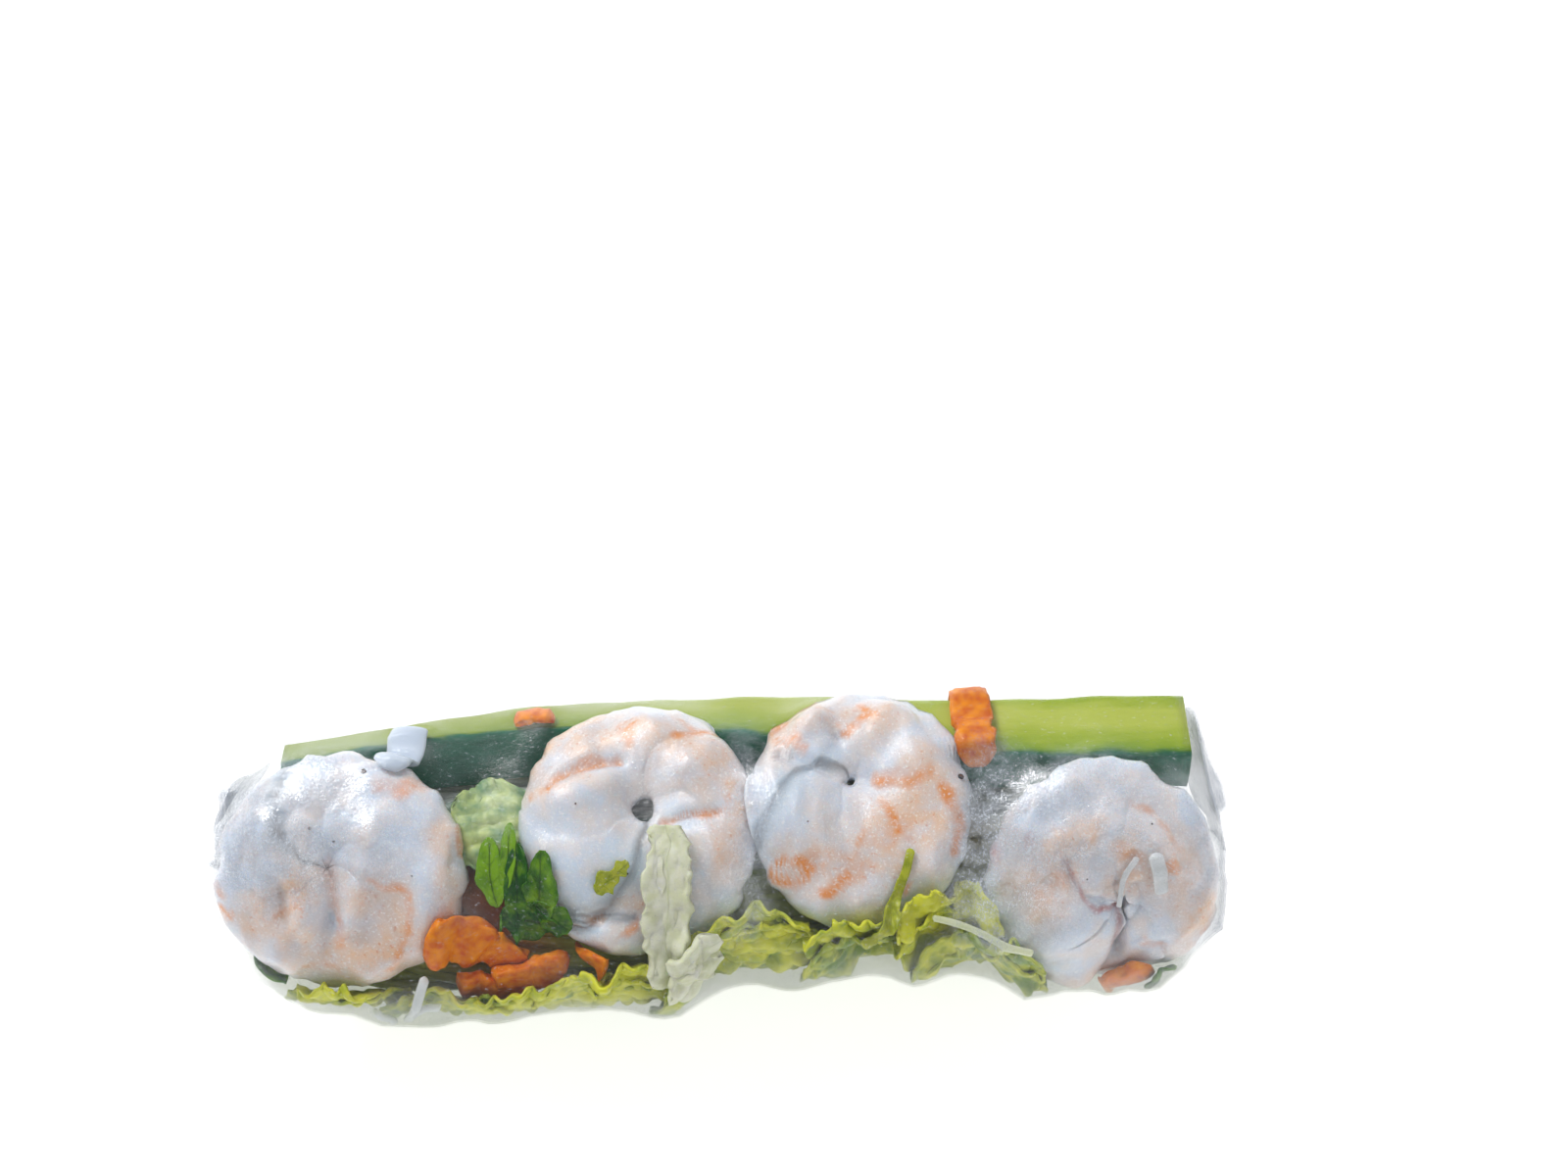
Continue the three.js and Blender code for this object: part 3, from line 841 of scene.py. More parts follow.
@dataclass(frozen=True)
class CucumberFlesh:
    """Cut cucumber: pale flesh that darkens towards a dark green skin, with a painted shadow over its left end.
    """

    stops: tuple[tuple[float, Colour], ...] = (
        (0.0, (186, 198, 86)),
        (0.35, (162, 182, 60)),
        (0.7, (126, 158, 38)),
        (1.0, (70, 116, 30)),
    )
    skin: Colour = (0, 78, 50)
    skin_light: Colour = (0, 116, 84)
    # painted shadow: the olive green laid over the left end
    shade: Colour = (112, 132, 24)

    def material(self) -> Material:
        """Makes the material.

        Returns:
            The material.
        """
        shader = Shader("cucumber_flesh", roughness=0.3)
        streaks = shader.noise(size=1.6, detail=3, stretch=(9, 1, 1))
        depth = shader.plus(shader.attribute("rind"), shader.band(streaks, 0.3, 0.7, (-0.13, 0.13)))
        # painted shadow: the flesh turns olive towards the left end
        painted_left_shadow = shader.band(shader.node("SeparateXYZ", 0, {0: shader.object}), -0.05, 0.04, (0.75, 0.0))
        flesh = shader.mix(painted_left_shadow, shader.ramp(depth, self.stops), self.shade)
        skin = shader.mix(shader.noise(size=1.2, detail=3, stretch=(4, 1, 1)), self.skin, self.skin_light)
        shader.set("Base Color", shader.mix(shader.attribute("skin"), flesh, skin))
        shader.flesh(weight=0.2, radius=(0.8, 1.0, 0.3), scale=1.0)
        shader.wet(weight=0.3, roughness=0.2)
        grain = shader.noise(size=0.5, detail=3, stretch=(3, 1, 1))
        shader.set("Normal", shader.bump(grain, depth=0.08, strength=0.5))
        return shader.material


@dataclass(frozen=True)
class CarrotFlesh:
    """Raw carrot: orange, a little paler in patches."""

    deep: Colour = (206, 88, 0)
    bright: Colour = (244, 150, 0)

    def material(self) -> Material:
        """Makes the material.

        Returns:
            The material.
        """
        shader = Shader("carrot_flesh", roughness=0.38)
        patchy = shader.band(shader.noise(size=1.4, detail=4), 0.3, 0.7)
        shader.set("Base Color", shader.mix(patchy, self.deep, self.bright))
        shader.wet(weight=0.2, roughness=0.2)
        shader.set("Normal", shader.bump(shader.noise(size=0.35, detail=3), depth=0.08, strength=0.6))
        return shader.material


@dataclass(frozen=True)
class LeafTissue:
    """A leaf: two greens, paler or darker veins and a translucent body."""

    name: str
    deep: Colour
    pale: Colour
    edge: Colour
    vein: Colour
    vein_share: float
    patch: float

    def material(self) -> Material:
        """Makes the material.

        Returns:
            The material.
        """
        shader = Shader(self.name, roughness=0.36)
        patch = shader.band(shader.noise(self.patch, detail=3), 0.36, 0.64, (-0.4, 0.4))
        tone = shader.node("Clamp", 0, {0: shader.plus(patch, shader.attribute("tone"))})
        body = shader.mix(tone, self.deep, self.pale)
        body = shader.mix(shader.times(shader.attribute("edge"), 0.22), body, self.edge)
        vein = shader.attribute("vein")
        shader.set("Base Color", shader.mix(shader.times(vein, self.vein_share), body, self.vein))
        shader.flesh(weight=0.2, radius=(0.8, 1.0, 0.25), scale=0.6)
        shader.wet(weight=0.3, roughness=0.2)
        crumple = shader.bump(shader.noise(size=1.0, detail=3), depth=0.15, strength=0.6)
        shader.set("Normal", shader.bump(vein, depth=0.12, strength=0.8, over=crumple))
        return shader.material


LETTUCE_TISSUE = LeafTissue(
    "lettuce_tissue", (98, 134, 6), (212, 214, 44), (214, 218, 84), (212, 218, 104), 0.3, 2.6
)
RIB_TISSUE = LeafTissue(
    "lettuce_rib_tissue", (206, 210, 172), (232, 234, 214), (212, 216, 174), (196, 204, 148), 0.35, 2.0
)
HERB_TISSUE = LeafTissue(
    "coriander_tissue", (10, 76, 6), (124, 170, 20), (60, 128, 20), (4, 48, 14), 0.7, 2.5
)
BED_TISSUE = LeafTissue(
    "lettuce_bed_tissue", (104, 146, 112), (204, 216, 140), (84, 134, 104), (206, 214, 150), 0.3, 2.8
)
YOUNG_TISSUE = LeafTissue(
    "young_leaf_tissue", (122, 138, 12), (176, 182, 44), (150, 164, 30), (104, 124, 10), 0.5, 1.2
)


@dataclass(frozen=True)
class NoodleStarch:
    """Cooked rice noodle: white and a little translucent, stained where leaves and skin have lain on it, and
    darkened brown as painted shade in the crevices between the pieces.
    """

    white: Colour = (224, 226, 224)
    grey: Colour = (200, 205, 200)
    stains_and_painted_shade: tuple[tuple[str, Colour], ...] = (
        ("green", (196, 208, 84)),
        ("teal", (52, 128, 96)),
        ("brown", (128, 78, 58)),
        # painted shade: the brown darkens the crevices between the pieces
        ("amber", (190, 108, 34)),
        ("blue", (200, 212, 228)),
    )

    def material(self) -> Material:
        """Makes the material.

        Returns:
            The material.
        """
        shader = Shader("noodle_starch", roughness=0.25)
        body = shader.mix(shader.band(shader.noise(size=3.0, detail=3), 0.35, 0.65), self.white, self.grey)
        for name, colour in self.stains_and_painted_shade:
            body = shader.mix(shader.attribute(name), body, colour)
        shader.set("Base Color", body)
        shader.flesh(weight=0.6, radius=(1.0, 0.95, 0.85), scale=1.4)
        shader.wet(weight=0.5, roughness=0.12)
        shader.set("Normal", shader.bump(shader.noise(size=0.6), depth=0.06, strength=0.4))
        return shader.material


@dataclass(frozen=True)
class Pepper:
    """Ground pepper."""

    dark: Colour = (30, 22, 18)
    brown: Colour = (92, 56, 34)

    def material(self) -> Material:
        """Makes the material.

        Returns:
            The material.
        """
        shader = Shader("pepper", roughness=0.6)
        patchy = shader.band(shader.noise(size=0.6), 0.45, 0.62)
        shader.set("Base Color", shader.mix(patchy, self.dark, self.brown))
        shader.set("Normal", shader.bump(shader.noise(size=0.2), depth=0.06))
        return shader.material


@dataclass(frozen=True)
class WetPaper:
    """Soaked rice paper: a clear wet film with a fine white grain that is partly painted sparkle, milky where
    it stands off or is folded, and frosted in spots with a milky white and painted sparkle highlights.
    """

    milk: Colour = (206, 214, 226)
    sap: Colour = (158, 172, 128)
    water: Colour = (50, 62, 66)
    clear: float = 0.045
    cloud: float = 0.012
    haze: float = 0.26
    fold: float = 0.6
    grain: float = 0.3
    # painted highlight: how strongly white sparkle specks show in the frosted spots
    frost: float = 0.7
    frost_base: float = 0.3
    rim: float = 0.16
    deep: float = 0.3

    def material(self) -> Material:
        """Makes the material.

        Returns:
            The material.
        """
        shader = Shader("wet_rice_paper", roughness=0.3, ior=1.45, specular=0.5)
        grain = shader.noise(size=0.36, detail=3, stretch=(1.6, 1, 1))
        # painted glints: a speckle of white sparkle in the film
        painted_glint = shader.band(shader.noise(size=0.3, detail=1, stretch=(1, 1.4, 1)), 0.56, 0.66)
        torn = shader.band(shader.noise(size=2.4, detail=3), 0.35, 0.65)
        frost = shader.times(shader.attribute("frost"), torn)
        facing = shader.node("LayerWeight", 1, {0: 0.5})
        grazing = shader.node("Math", 0, {0: facing, 1: 4.0}, operation="POWER")
        deep = shader.attribute("deep")
        veils = (
            shader.band(shader.noise(size=7.0, detail=4), 0.5, 0.75, (0.0, self.cloud)),
            shader.times(shader.attribute("haze"), self.haze),
            shader.times(shader.attribute("fold"), self.fold),
            shader.times(deep, self.deep),
            # the fine white grain: partly the paper's own fibres, partly painted sparkle
            shader.times(shader.band(grain, 0.64, 0.74), self.grain),
            # frosted spots: painted sparkle highlights over a milky white
            shader.times(shader.times(frost, painted_glint), self.frost),
            shader.times(frost, self.frost_base),
            shader.times(grazing, self.rim),
        )
        veiled: object = 0.0
        for veil in veils:
            veiled = shader.plus(veiled, veil)
        milk = shader.mix(deep, self.milk, self.sap)
        shader.set("Base Color", shader.mix(shader.band(veiled, 0.0, self.clear), self.water, milk))
        shader.set("Alpha", shader.plus(veiled, self.clear))
        wrinkle = shader.bump(shader.noise(size=1.6, detail=3), depth=0.2, strength=0.5)
        relief = shader.bump(grain, depth=0.1, strength=0.9, over=wrinkle)
        shader.set("Normal", relief)
        for name, value in (("Weight", 1.0), ("Roughness", 0.14), ("IOR", 2.6), ("Normal", relief)):
            shader.set("Coat " + name, value)
        return shader.material


# ---------------------------------------------------------------- pieces
@dataclass
class Piece:
    """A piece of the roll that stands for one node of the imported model."""

    node: str
    slot: ClassVar[str] = ""

    def build(self, layers: Layers) -> Object:
        """Makes the piece's mesh over what is laid."""
        raise NotImplementedError

    def lay(self, layers: Layers, material: Material) -> None:
        """Makes the piece, dresses it and counts it as laid.

        Args:
            layers: What has been laid so far.
            material: The piece's finish.
        """
        piece = self.build(layers)
        dress(piece, material)
        layers.add(piece)
        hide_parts(self.node)


@dataclass
class Cucumber(Piece):
    """A stick cut lengthwise, twisted, with its skin side to the front.

    Attributes:
        edge: Stops of along, around and out of the corner between its cut face and its skin.
        width: Of the cut face, at its two ends.
        twist: Degrees that the cut face leans back, at its two ends.
        band: From where to where on the cut face the skin fades.
        rind: How soon the flesh pales behind the skin.
        seeds: The middle and the reach of the pale seeds.
    """

    node: str = "cucumber_stick"
    slot: ClassVar[str] = "cucumber"
    edge: Sequence[tuple[float, float, float]] = (
        (-55.4, -29, 16), (-25, -41, 17.3), (4, -32, 17.3), (32, -15, 17.2), (62, -10, 16.6),
    )
    width: Stop = (5.4, 9.6)
    depth: float = 7.6
    twist: Stop = (45.0, 13.0)
    rings: int = 170
    sides: int = 72
    unevenness: float = 0.12
    band: Stop = (0.1, 0.5)
    rind: float = 2.8
    seeds: Stop = (5.6, 1.6)

    def section(self) -> Array:
        """Draws the section's outline, with softened corners.

        Returns:
            Its points, in shares of its width and depth from the corner.
        """
        t = np.linspace(0, 1, 60, endpoint=False)
        skin = np.stack([-0.2 * t * (1 - t), -1 + t], -1)
        top = np.stack([t, 0 * t], -1)
        back = np.stack([1 - 0.08 * t, -t], -1)
        under = np.stack([0.92 * (1 - t), -1 + 0 * t], -1)
        line = np.vstack([skin, top, back, under])
        for _ in range(14):
            line = (np.roll(line, 1, 0) + line + np.roll(line, -1, 0)) / 3
        return line[np.linspace(0, len(line), self.sides, endpoint=False).astype(int)]

    def build(self, layers: Layers) -> Object:
        """Makes the stick, whose place doesn't depend on what is laid.

        Args:
            layers: What is laid so far.

        Returns:
            The stick.
        """
        blank = Blank.tube(self.node, self.rings, self.sides)
        share = np.linspace(0, 1, self.rings + 1)
        x, around, out = through(self.edge, share).T[..., None]
        section = self.section()
        change = smooth(share[:, None], 0, 1)
        across = section[:, 0] * (self.width[0] + (self.width[1] - self.width[0]) * change)
        inward = section[:, 1] * self.depth
        lean = np.radians(self.twist[0] + (self.twist[1] - self.twist[0]) * change)
        turn = np.radians(around)
        back = -out * np.sin(turn) + across * np.cos(lean) + inward * np.sin(lean)
        rise = out * np.cos(turn) - across * np.sin(lean) + inward * np.cos(lean)
        points = stacked(x, back, rise)
        sideways = np.array([0.0, 1.0, 1.0])
        points = points + self.unevenness * Waves(3, 9).at(points)[..., None] * sideways
        edge = across + 0.22 * Waves(5, 3).at(points)
        rind = np.exp(-np.maximum(edge, 0) / self.rind) - 0.2 * bell(edge - self.seeds[0], self.seeds[1])
        # the flesh also darkens towards the far edge of the cut face
        rind = rind + 0.4 * smooth(edge, 6.4, 9.6)
        blank.shape(points + layers.wrap.centre)
        blank.mark(skin=1 - smooth(edge, *self.band), rind=np.clip(rind, 0, 1))
        return blank.piece


class Mark(Enum):
    """What a streak does to a shrimp."""

    ORANGE = "orange"
    BLUSH = "blush"
    RED = "red"
    RIDGE = "ridge"


@dataclass(frozen=True)
class Streak:
    """A tint or a ridge along a short line on a shrimp.

    Attributes:
        mark: What it does.
        line: Points right of and behind the middle of the curl.
        reach: How far it fades out.
        amount: Its strength, or a ridge's height.
    """

    mark: Mark
    line: tuple[Stop, ...]
    reach: float
    amount: float = 1.0

    def strength(self, at: Array) -> Array:
        """Reads the streak.

        Args:
            at: Points in the same plan.

        Returns:
            Its strength at each of them.
        """
        nearest = np.full(at.shape[:-1], np.inf)
        ends = self.line if len(self.line) > 1 else self.line * 2
        for a, b in zip(np.array(ends[:-1]), np.array(ends[1:])):
            run = b - a
            t = np.clip((at - a) @ run / max(run @ run, 1e-9), 0, 1)
            nearest = np.minimum(nearest, np.linalg.norm(at - a - t[..., None] * run, axis=-1))
        return self.amount * bell(nearest, self.reach)


def orange(reach: float, *line: Stop, amount: float = 1.0) -> Streak:
    """A streak of strong orange."""
    return Streak(Mark.ORANGE, line, max(reach, FINEST_ORANGE), amount)


def blush(reach: float, *line: Stop, amount: float = 1.0) -> Streak:
    """A patch of pink."""
    return Streak(Mark.BLUSH, line, reach, amount)


def red(reach: float, *line: Stop, amount: float = 1.0) -> Streak:
    """A dark red streak."""
    return Streak(Mark.RED, line, reach, amount)


def ridge(reach: float, height: float, *line: Stop) -> Streak:
    """A raised lobe, or a groove if its height is negative."""
    return Streak(Mark.RIDGE, line, reach, height)


@dataclass
class Shrimp(Piece):
    """A peeled shrimp curled on its side and bent over the roll, its underside pressed on what it lies on.

    Attributes:
        seat: How far the middle plane lies above the spine.
        start: Direction of the head end in the plan, in degrees.
        turn: 1 if it curls anticlockwise seen from above, -1 if clockwise.
        sweep: Degrees that it curls through.
        eye: How far the hole lies from the middle of the curl.
        swirl: Degrees by which the inside of the curl lags behind its outside.
        hole: Radius of the hole, negative if the body reaches past the middle.
        bend: Radius to which it bends over the roll.
        lump: Height of a ridge of 1.
        flesh: How far at least its upper side clears what lies under it.
    """

    slot: ClassVar[str] = "shrimp"
    along: float = 0.0
    around: float = 0.0
    seat: float = 14.4
    start: float = 0.0
    turn: int = 1
    sweep: float = 330.0
    scale: Stop = (1.0, 1.0)
    eye: Stop = (0.0, 0.0)
    swirl: float = 50.0
    seed: int = 1
    streaks: tuple[Streak, ...] = ()
    ring: float = 9.2
    hole: float = 1.6
    head: Stop = (7.0, 4.1)
    tail: Stop = (5.4, 2.8)
    segments: int = 6
    bend: float = 24.0
    lump: float = 1.9
    flesh: float = 1.8
    rings: int = 300
    sides: int = 120

    def girth(self, share: Array) -> tuple[Array, Array]:
        """Finds how thick the body is.

        Args:
            share: Shares of its length from the head end.

        Returns:
            Half its width and half its height there.
        """
        place = (share * self.segments) % 1
        arch = np.sqrt(np.abs(np.sin(math.pi * self.segments * share)) + 0.03)
        swell = 0.91 + 0.09 * arch + 0.03 * place**4
        head_end = np.sqrt(np.clip(share / 0.02 + 0.7, 0, 1))
        tail_end = np.sqrt(np.clip((1 - share) / 0.03 + 0.6, 0, 1))
        size = swell * head_end * tail_end
        return tuple((h + (t - h) * share) * size for h, t in zip(self.head, self.tail))

    def build(self, layers: Layers) -> Object:
        """Makes the shrimp over what is laid, and tints it.

        Args:
            layers: What is laid so far.

        Returns:
            The shrimp.
        """
        blank = Blank.tube(self.node, self.rings, self.sides)
        share = np.linspace(0, 1, self.rings + 1)[:, None]
        c = round_columns(self.sides)
        angle = np.radians(self.start + self.turn * self.sweep * share)
        width, height = self.girth(share)
        half = np.where(np.cos(c) > 0, width, np.minimum(1.4 * width, self.ring - self.hole))
        reach = self.ring + half * squared(np.cos(c), 0.9)
        angle = angle - self.turn * math.radians(self.swirl) * (1 - reach / (1.5 * self.ring))
        plan = np.stack([self.scale[0] * reach * np.cos(angle), self.scale[1] * reach * np.sin(angle)], -1)
        flat = stacked(plan[..., 0], plan[..., 1], 0.0)
        plan = plan + np.array(self.eye) * (1 - smooth(np.linalg.norm(plan, axis=-1), 2, 15))[..., None]
        plan = plan + 0.35 * sway((self.seed, self.seed + 9), 3.4, flat)
        closed = min(max(0.8 - self.hole, 0), 0.85) * (1 - smooth(reach, 1.5, 6))
        up = squared(np.sin(c), 0.85)
        up = np.where(np.sin(c) > 1e-6, np.maximum(up, closed), up)
        top = np.clip(up, 0, 1)
        relief = 0.2 * Waves(self.seed + 4, 5).at(flat) + self.lump * self.total(Mark.RIDGE, plan)
        rise = self.bend + height * up + top * relief
        lean = plan[..., 1] / self.bend
        points = np.stack(
            [self.along + plan[..., 0], rise * np.sin(lean), rise * np.cos(lean) - self.bend + self.seat], -1
        )
        blank.shape(self.pressed(tip(points, self.around) + layers.wrap.centre, self.flesh * top, layers))
        wander = plan + 0.4 * sway((self.seed + 2, self.seed + 3), 4, flat)
        for mark in (Mark.ORANGE, Mark.BLUSH, Mark.RED):
            blank.mark(**{mark.value: np.clip(self.total(mark, wander), 0, 1)})
        # stores how much painted shade each place in the grooves gets
        blank.mark(hollow=self.hollows(share, relief))
        return blank.piece

    def hollows(self, share: Array, relief: Array) -> Array:
        """Finds where the surface is sunk, to lay painted shade in its grooves.

        Args:
            share: Shares of the body's length.
            relief: How far each place is raised.

        Returns:
            How deep in a groove or a segment seam each place lies, from 0 to 1: the share of painted shade.
        """
        even = relief
        for _ in range(60):
            even = neighbours(even)
        groove = (share * self.segments + 0.5) % 1 - 0.5
        return np.clip(np.clip((even - relief) / 0.4, 0, 1) + 0.5 * np.exp(-(groove**2) / 0.004), 0, 1)

    def total(self, mark: Mark, plan: Array) -> Array:
        """Reads all the streaks of one kind together.

        Args:
            mark: The kind.
            plan: Points of the shrimp's plan.

        Returns:
            The sum of all ridges, or the strongest of all tints.
        """
        each = [streak.strength(plan) for streak in self.streaks if streak.mark is mark]
        if mark is Mark.RIDGE:
            return sum(each, np.zeros(plan.shape[:-1]))
        return np.max(each, axis=0) if each else np.zeros(plan.shape[:-1])

    @staticmethod
    def pressed(points: Array, flesh: Array, layers: Layers) -> Array:
        """Moves points out until they clear what lies under them.

        Args:
            points: The points.
            flesh: How far each has to clear it.
            layers: What is laid.

        Returns:
            The moved points.
        """
        along, around, out = layers.wrap.read(points)
        under = layers.under(along, around)
        clear = np.where(under > 1, np.maximum(out, under + GAP + flesh), out)
        return layers.wrap.place(along, around, clear)


def tip(points: Array, around: float) -> Array:
    """Turns points about the spine from the top of the roll towards its front.

    Args:
        points: Points from the spine's middle.
        around: Degrees of the turn.

    Returns:
        The turned points.
    """
    cos, sin = math.cos(math.radians(around)), math.sin(math.radians(around))
    x, y, z = np.moveaxis(points, -1, 0)
    return np.stack([x, y * cos - z * sin, y * sin + z * cos], axis=-1)


@dataclass
class Strip(Piece):
    """A shred or a noodle, laid along a route.

    Attributes:
        depth: It lies nowhere under this distance from the spine.
        square: 1 for a round section, and less for a squarer one.
        supple: Whether it bends across as well as along.
        bridge: How far it bridges hollows.
        twigs: Routes and widths of more strips of the same piece.
        tint: An attribute and its value all over the strip.
    """

    route: Route = ()
    width: float = 2.0
    thickness: float = 1.0
    depth: float = 16.0
    rings: int = 60
    sides: int = 20
    square: float = 1.0
    rough: float = 0.0
    supple: bool = True
    bridge: int = 10
    twigs: Sequence[tuple[Route, float]] = ()
    seed: int = 1
    tint: tuple[str, float] | None = None

    def build(self, layers: Layers) -> Object:
        """Makes the strip, and its twigs if it has any."""
        twigs = [replace(self, route=route, width=width) for route, width in self.twigs]
        return join([strip.single(layers) for strip in (self, *twigs)], self.node)

    def single(self, layers: Layers) -> Object:
        """Makes one strip along the route.

        Args:
            layers: What it lies on.

        Returns:
            The strip, closed.
        """
        arc_radius = layers.wrap.arc_radius
        blank = Blank.tube(self.node, self.rings, self.sides)
        share = np.linspace(0, 1, self.rings + 1)
        c = (np.arange(self.sides)[None, :] + 0.5) * CIRCLE / self.sides
        path, heading = along_route(self.route, share, arc_radius)
        length = self.length(arc_radius)
        end = np.sqrt(np.clip(np.minimum(share, 1 - share) / (0.3 * self.width / length) + 0.15, 0, 1))
        field = stacked(share[:, None] * length, 2 * np.cos(c), 2 * np.sin(c))
        uneven = 1 + self.rough * Waves(self.seed, 2.2).at(field)
        side = squared(np.cos(c), self.square) * (end * self.width / 2)[:, None] * uneven
        along, around = beside(path, heading, side, arc_radius)
        floor = layers.drape(along, around, self.depth, self.bridge)
        if not self.supple:
            floor = np.broadcast_to(floor.max(axis=1, keepdims=True), floor.shape)
        half = (end * self.thickness / 2)[:, None]
        up = squared(np.sin(c), self.square)
        blank.shape(layers.wrap.place(along, around, floor + half * (1 + up * uneven)))
        if self.tint:
            store(blank.piece, self.tint[0], np.full(len(blank.piece.data.vertices), self.tint[1]))
        return blank.piece

    def length(self, arc_radius: float) -> float:
        """The length of the route."""
        path, _ = along_route(self.route, np.linspace(0, 1, 40), arc_radius)
        return float(np.linalg.norm(np.diff(path, axis=0), axis=1).sum())


@dataclass
class Carrot(Strip):
    """A carrot shred, cut square."""

    slot: ClassVar[str] = "carrot"
    square: float = 0.55
    rough: float = 0.16
    supple: bool = False


@dataclass
class Noodle(Strip):
    """A loose noodle."""

    slot: ClassVar[str] = "noodle"
    rough: float = 0.05
    tint: tuple[str, float] | None = ("blue", 0.3)


@dataclass
class Sliver(Strip):
    """A sliver cut from a lettuce leaf, all of one pale tone."""

    slot: ClassVar[str] = "lettuce"
    rough: float = 0.12
    tint: tuple[str, float] | None = ("tone", 0.7)


@dataclass
class Blade:
    """One blade of a leaf: a thin crumpled sheet along a route, narrow at both ends, with a frilled edge.

    Attributes:
        tone: From 0 for a deep leaf to 1 for a pale one.
        lobes: Depth of its lobes, as a share of its width.
        ruffles: Number of lobes.
        wave: Height of its crumples.
        frill: Unevenness of its edge, as a share of its width.
        blunt: How soon it narrows at its ends: near 0 for a cut piece.
        bridge: How far it bridges hollows.
    """

    route: Route
    width: float
    tone: float = 0.5
    lobes: float = 0.06
    ruffles: int = 3
    wave: float = 1.2
    frill: float = 0.09
    blunt: float = 0.5
    seed: int = 1
    rows: int = 70
    columns: int = 26
    bridge: int = 40

    def build(self, name: str, depth: float, thickness: float, layers: Layers) -> Object:
        """Makes the blade.

        Args:
            name: The mesh's name.
            depth: It lies nowhere under this distance from the spine.
            thickness: Of the leaf.
            layers: What it lies on.

        Returns:
            The blade, closed.
        """
        blank = Blank.sheet(name, self.rows, self.columns)
        share = np.linspace(0, 1, self.rows + 1)
        side = np.linspace(-1, 1, self.columns + 1)[None, :]
        off = np.abs(side)
        path, heading = along_route(self.route, share, layers.wrap.arc_radius)
        run = np.concatenate([[0.0], np.linalg.norm(np.diff(path, axis=0), axis=1).cumsum()])[:, None]
        taper = np.sin(math.pi * np.clip(share, 0.012, 0.988)) ** self.blunt
        edge = 1 + self.lobes * np.cos(2 * math.pi * self.ruffles * share)
        ragged = 1 + self.frill * Waves(self.seed, 2.0).at(stacked(run, 3 * np.sign(side), 0.0))
        reach = side * (self.width / 2 * taper * edge)[:, None] * ragged
        along, around = beside(path, heading, reach, layers.wrap.arc_radius)
        field = stacked(run, 1.3 * reach, 0.0)
        crumple = (1 + Waves(self.seed + 5, 3.0).at(field)) / 2 * (0.55 + 0.45 * off)
        curl = (1 + Waves(self.seed + 6, 1.7).at(field)) / 2 * off**3
        lowest = layers.drape(along, around, depth, self.bridge)
        blank.shape(layers.wrap.place(along, around, lowest + thickness + self.wave * (crumple + 0.5 * curl)))
        slant = (share[:, None] * self.ruffles * 2 - off * 0.8) % 1
        vein = np.exp(-off / 0.07) + 0.6 * np.exp(-np.abs(slant - 0.5) / 0.06) * (1 - off)
        blank.mark(edge=off**3, tone=self.tone, vein=np.clip(vein, 0, 1))
        thicken(blank.piece, thickness)
        return blank.piece


@dataclass
class Leaf(Piece):
    """A leaf piece of one or more blades."""

    blades: Sequence[Blade] = ()
    depth: float = 16.0
    thickness: float = 0.45

    def build(self, layers: Layers) -> Object:
        """Makes the blades and joins them."""
        return join([b.build(self.node, self.depth, self.thickness, layers) for b in self.blades], self.node)


@dataclass
class Lettuce(Leaf):
    """A ruffled piece of lettuce."""

    slot: ClassVar[str] = "lettuce"


@dataclass
class Rib(Leaf):
    """A pale wedge of lettuce rib."""

    slot: ClassVar[str] = "lettuce_rib"
    thickness: float = 0.9


@dataclass
class Coriander(Leaf):
    """A lobed coriander leaf."""

    slot: ClassVar[str] = "coriander"
    thickness: float = 0.3


@dataclass(frozen=True)
class Spot:
    """A round place on the roll.

    Attributes:
        along: Its middle along the roll.
        around: Its middle in degrees from the top.
        wide: Its reach along the roll.
        high: Its reach around it, in millimetres.
        amount: The strength of a stain or of painted shade, of the film's frosting with its painted sparkle, or
            how far out the film stands.
    """

    along: float
    around: float
    wide: float
    high: float
    amount: float

    def away(self, along: Array, around: Array, arc_radius: float) -> Array:
        """The square of the distance from its middle, 1 at its reach."""
        off = np.radians(off_by(around, self.around)) * arc_radius
        return ((along - self.along) / self.wide) ** 2 + (off / self.high) ** 2


def patches(spots: Sequence[Spot], along: Array, around: Array, arc_radius: float) -> Array:
    """Reads some spots together.

    Args:
        spots: The spots.
        along: Where along the roll.
        around: Where around it.
        arc_radius: Turns the angle around into millimetres.

    Returns:
        The strength of the strongest at each place.
    """
    strength = np.zeros(np.broadcast(along, around).shape)
    for spot in spots:
        away = spot.away(along, around, arc_radius)
        strength = np.maximum(strength, spot.amount * np.exp(-(away**2)))
    return strength


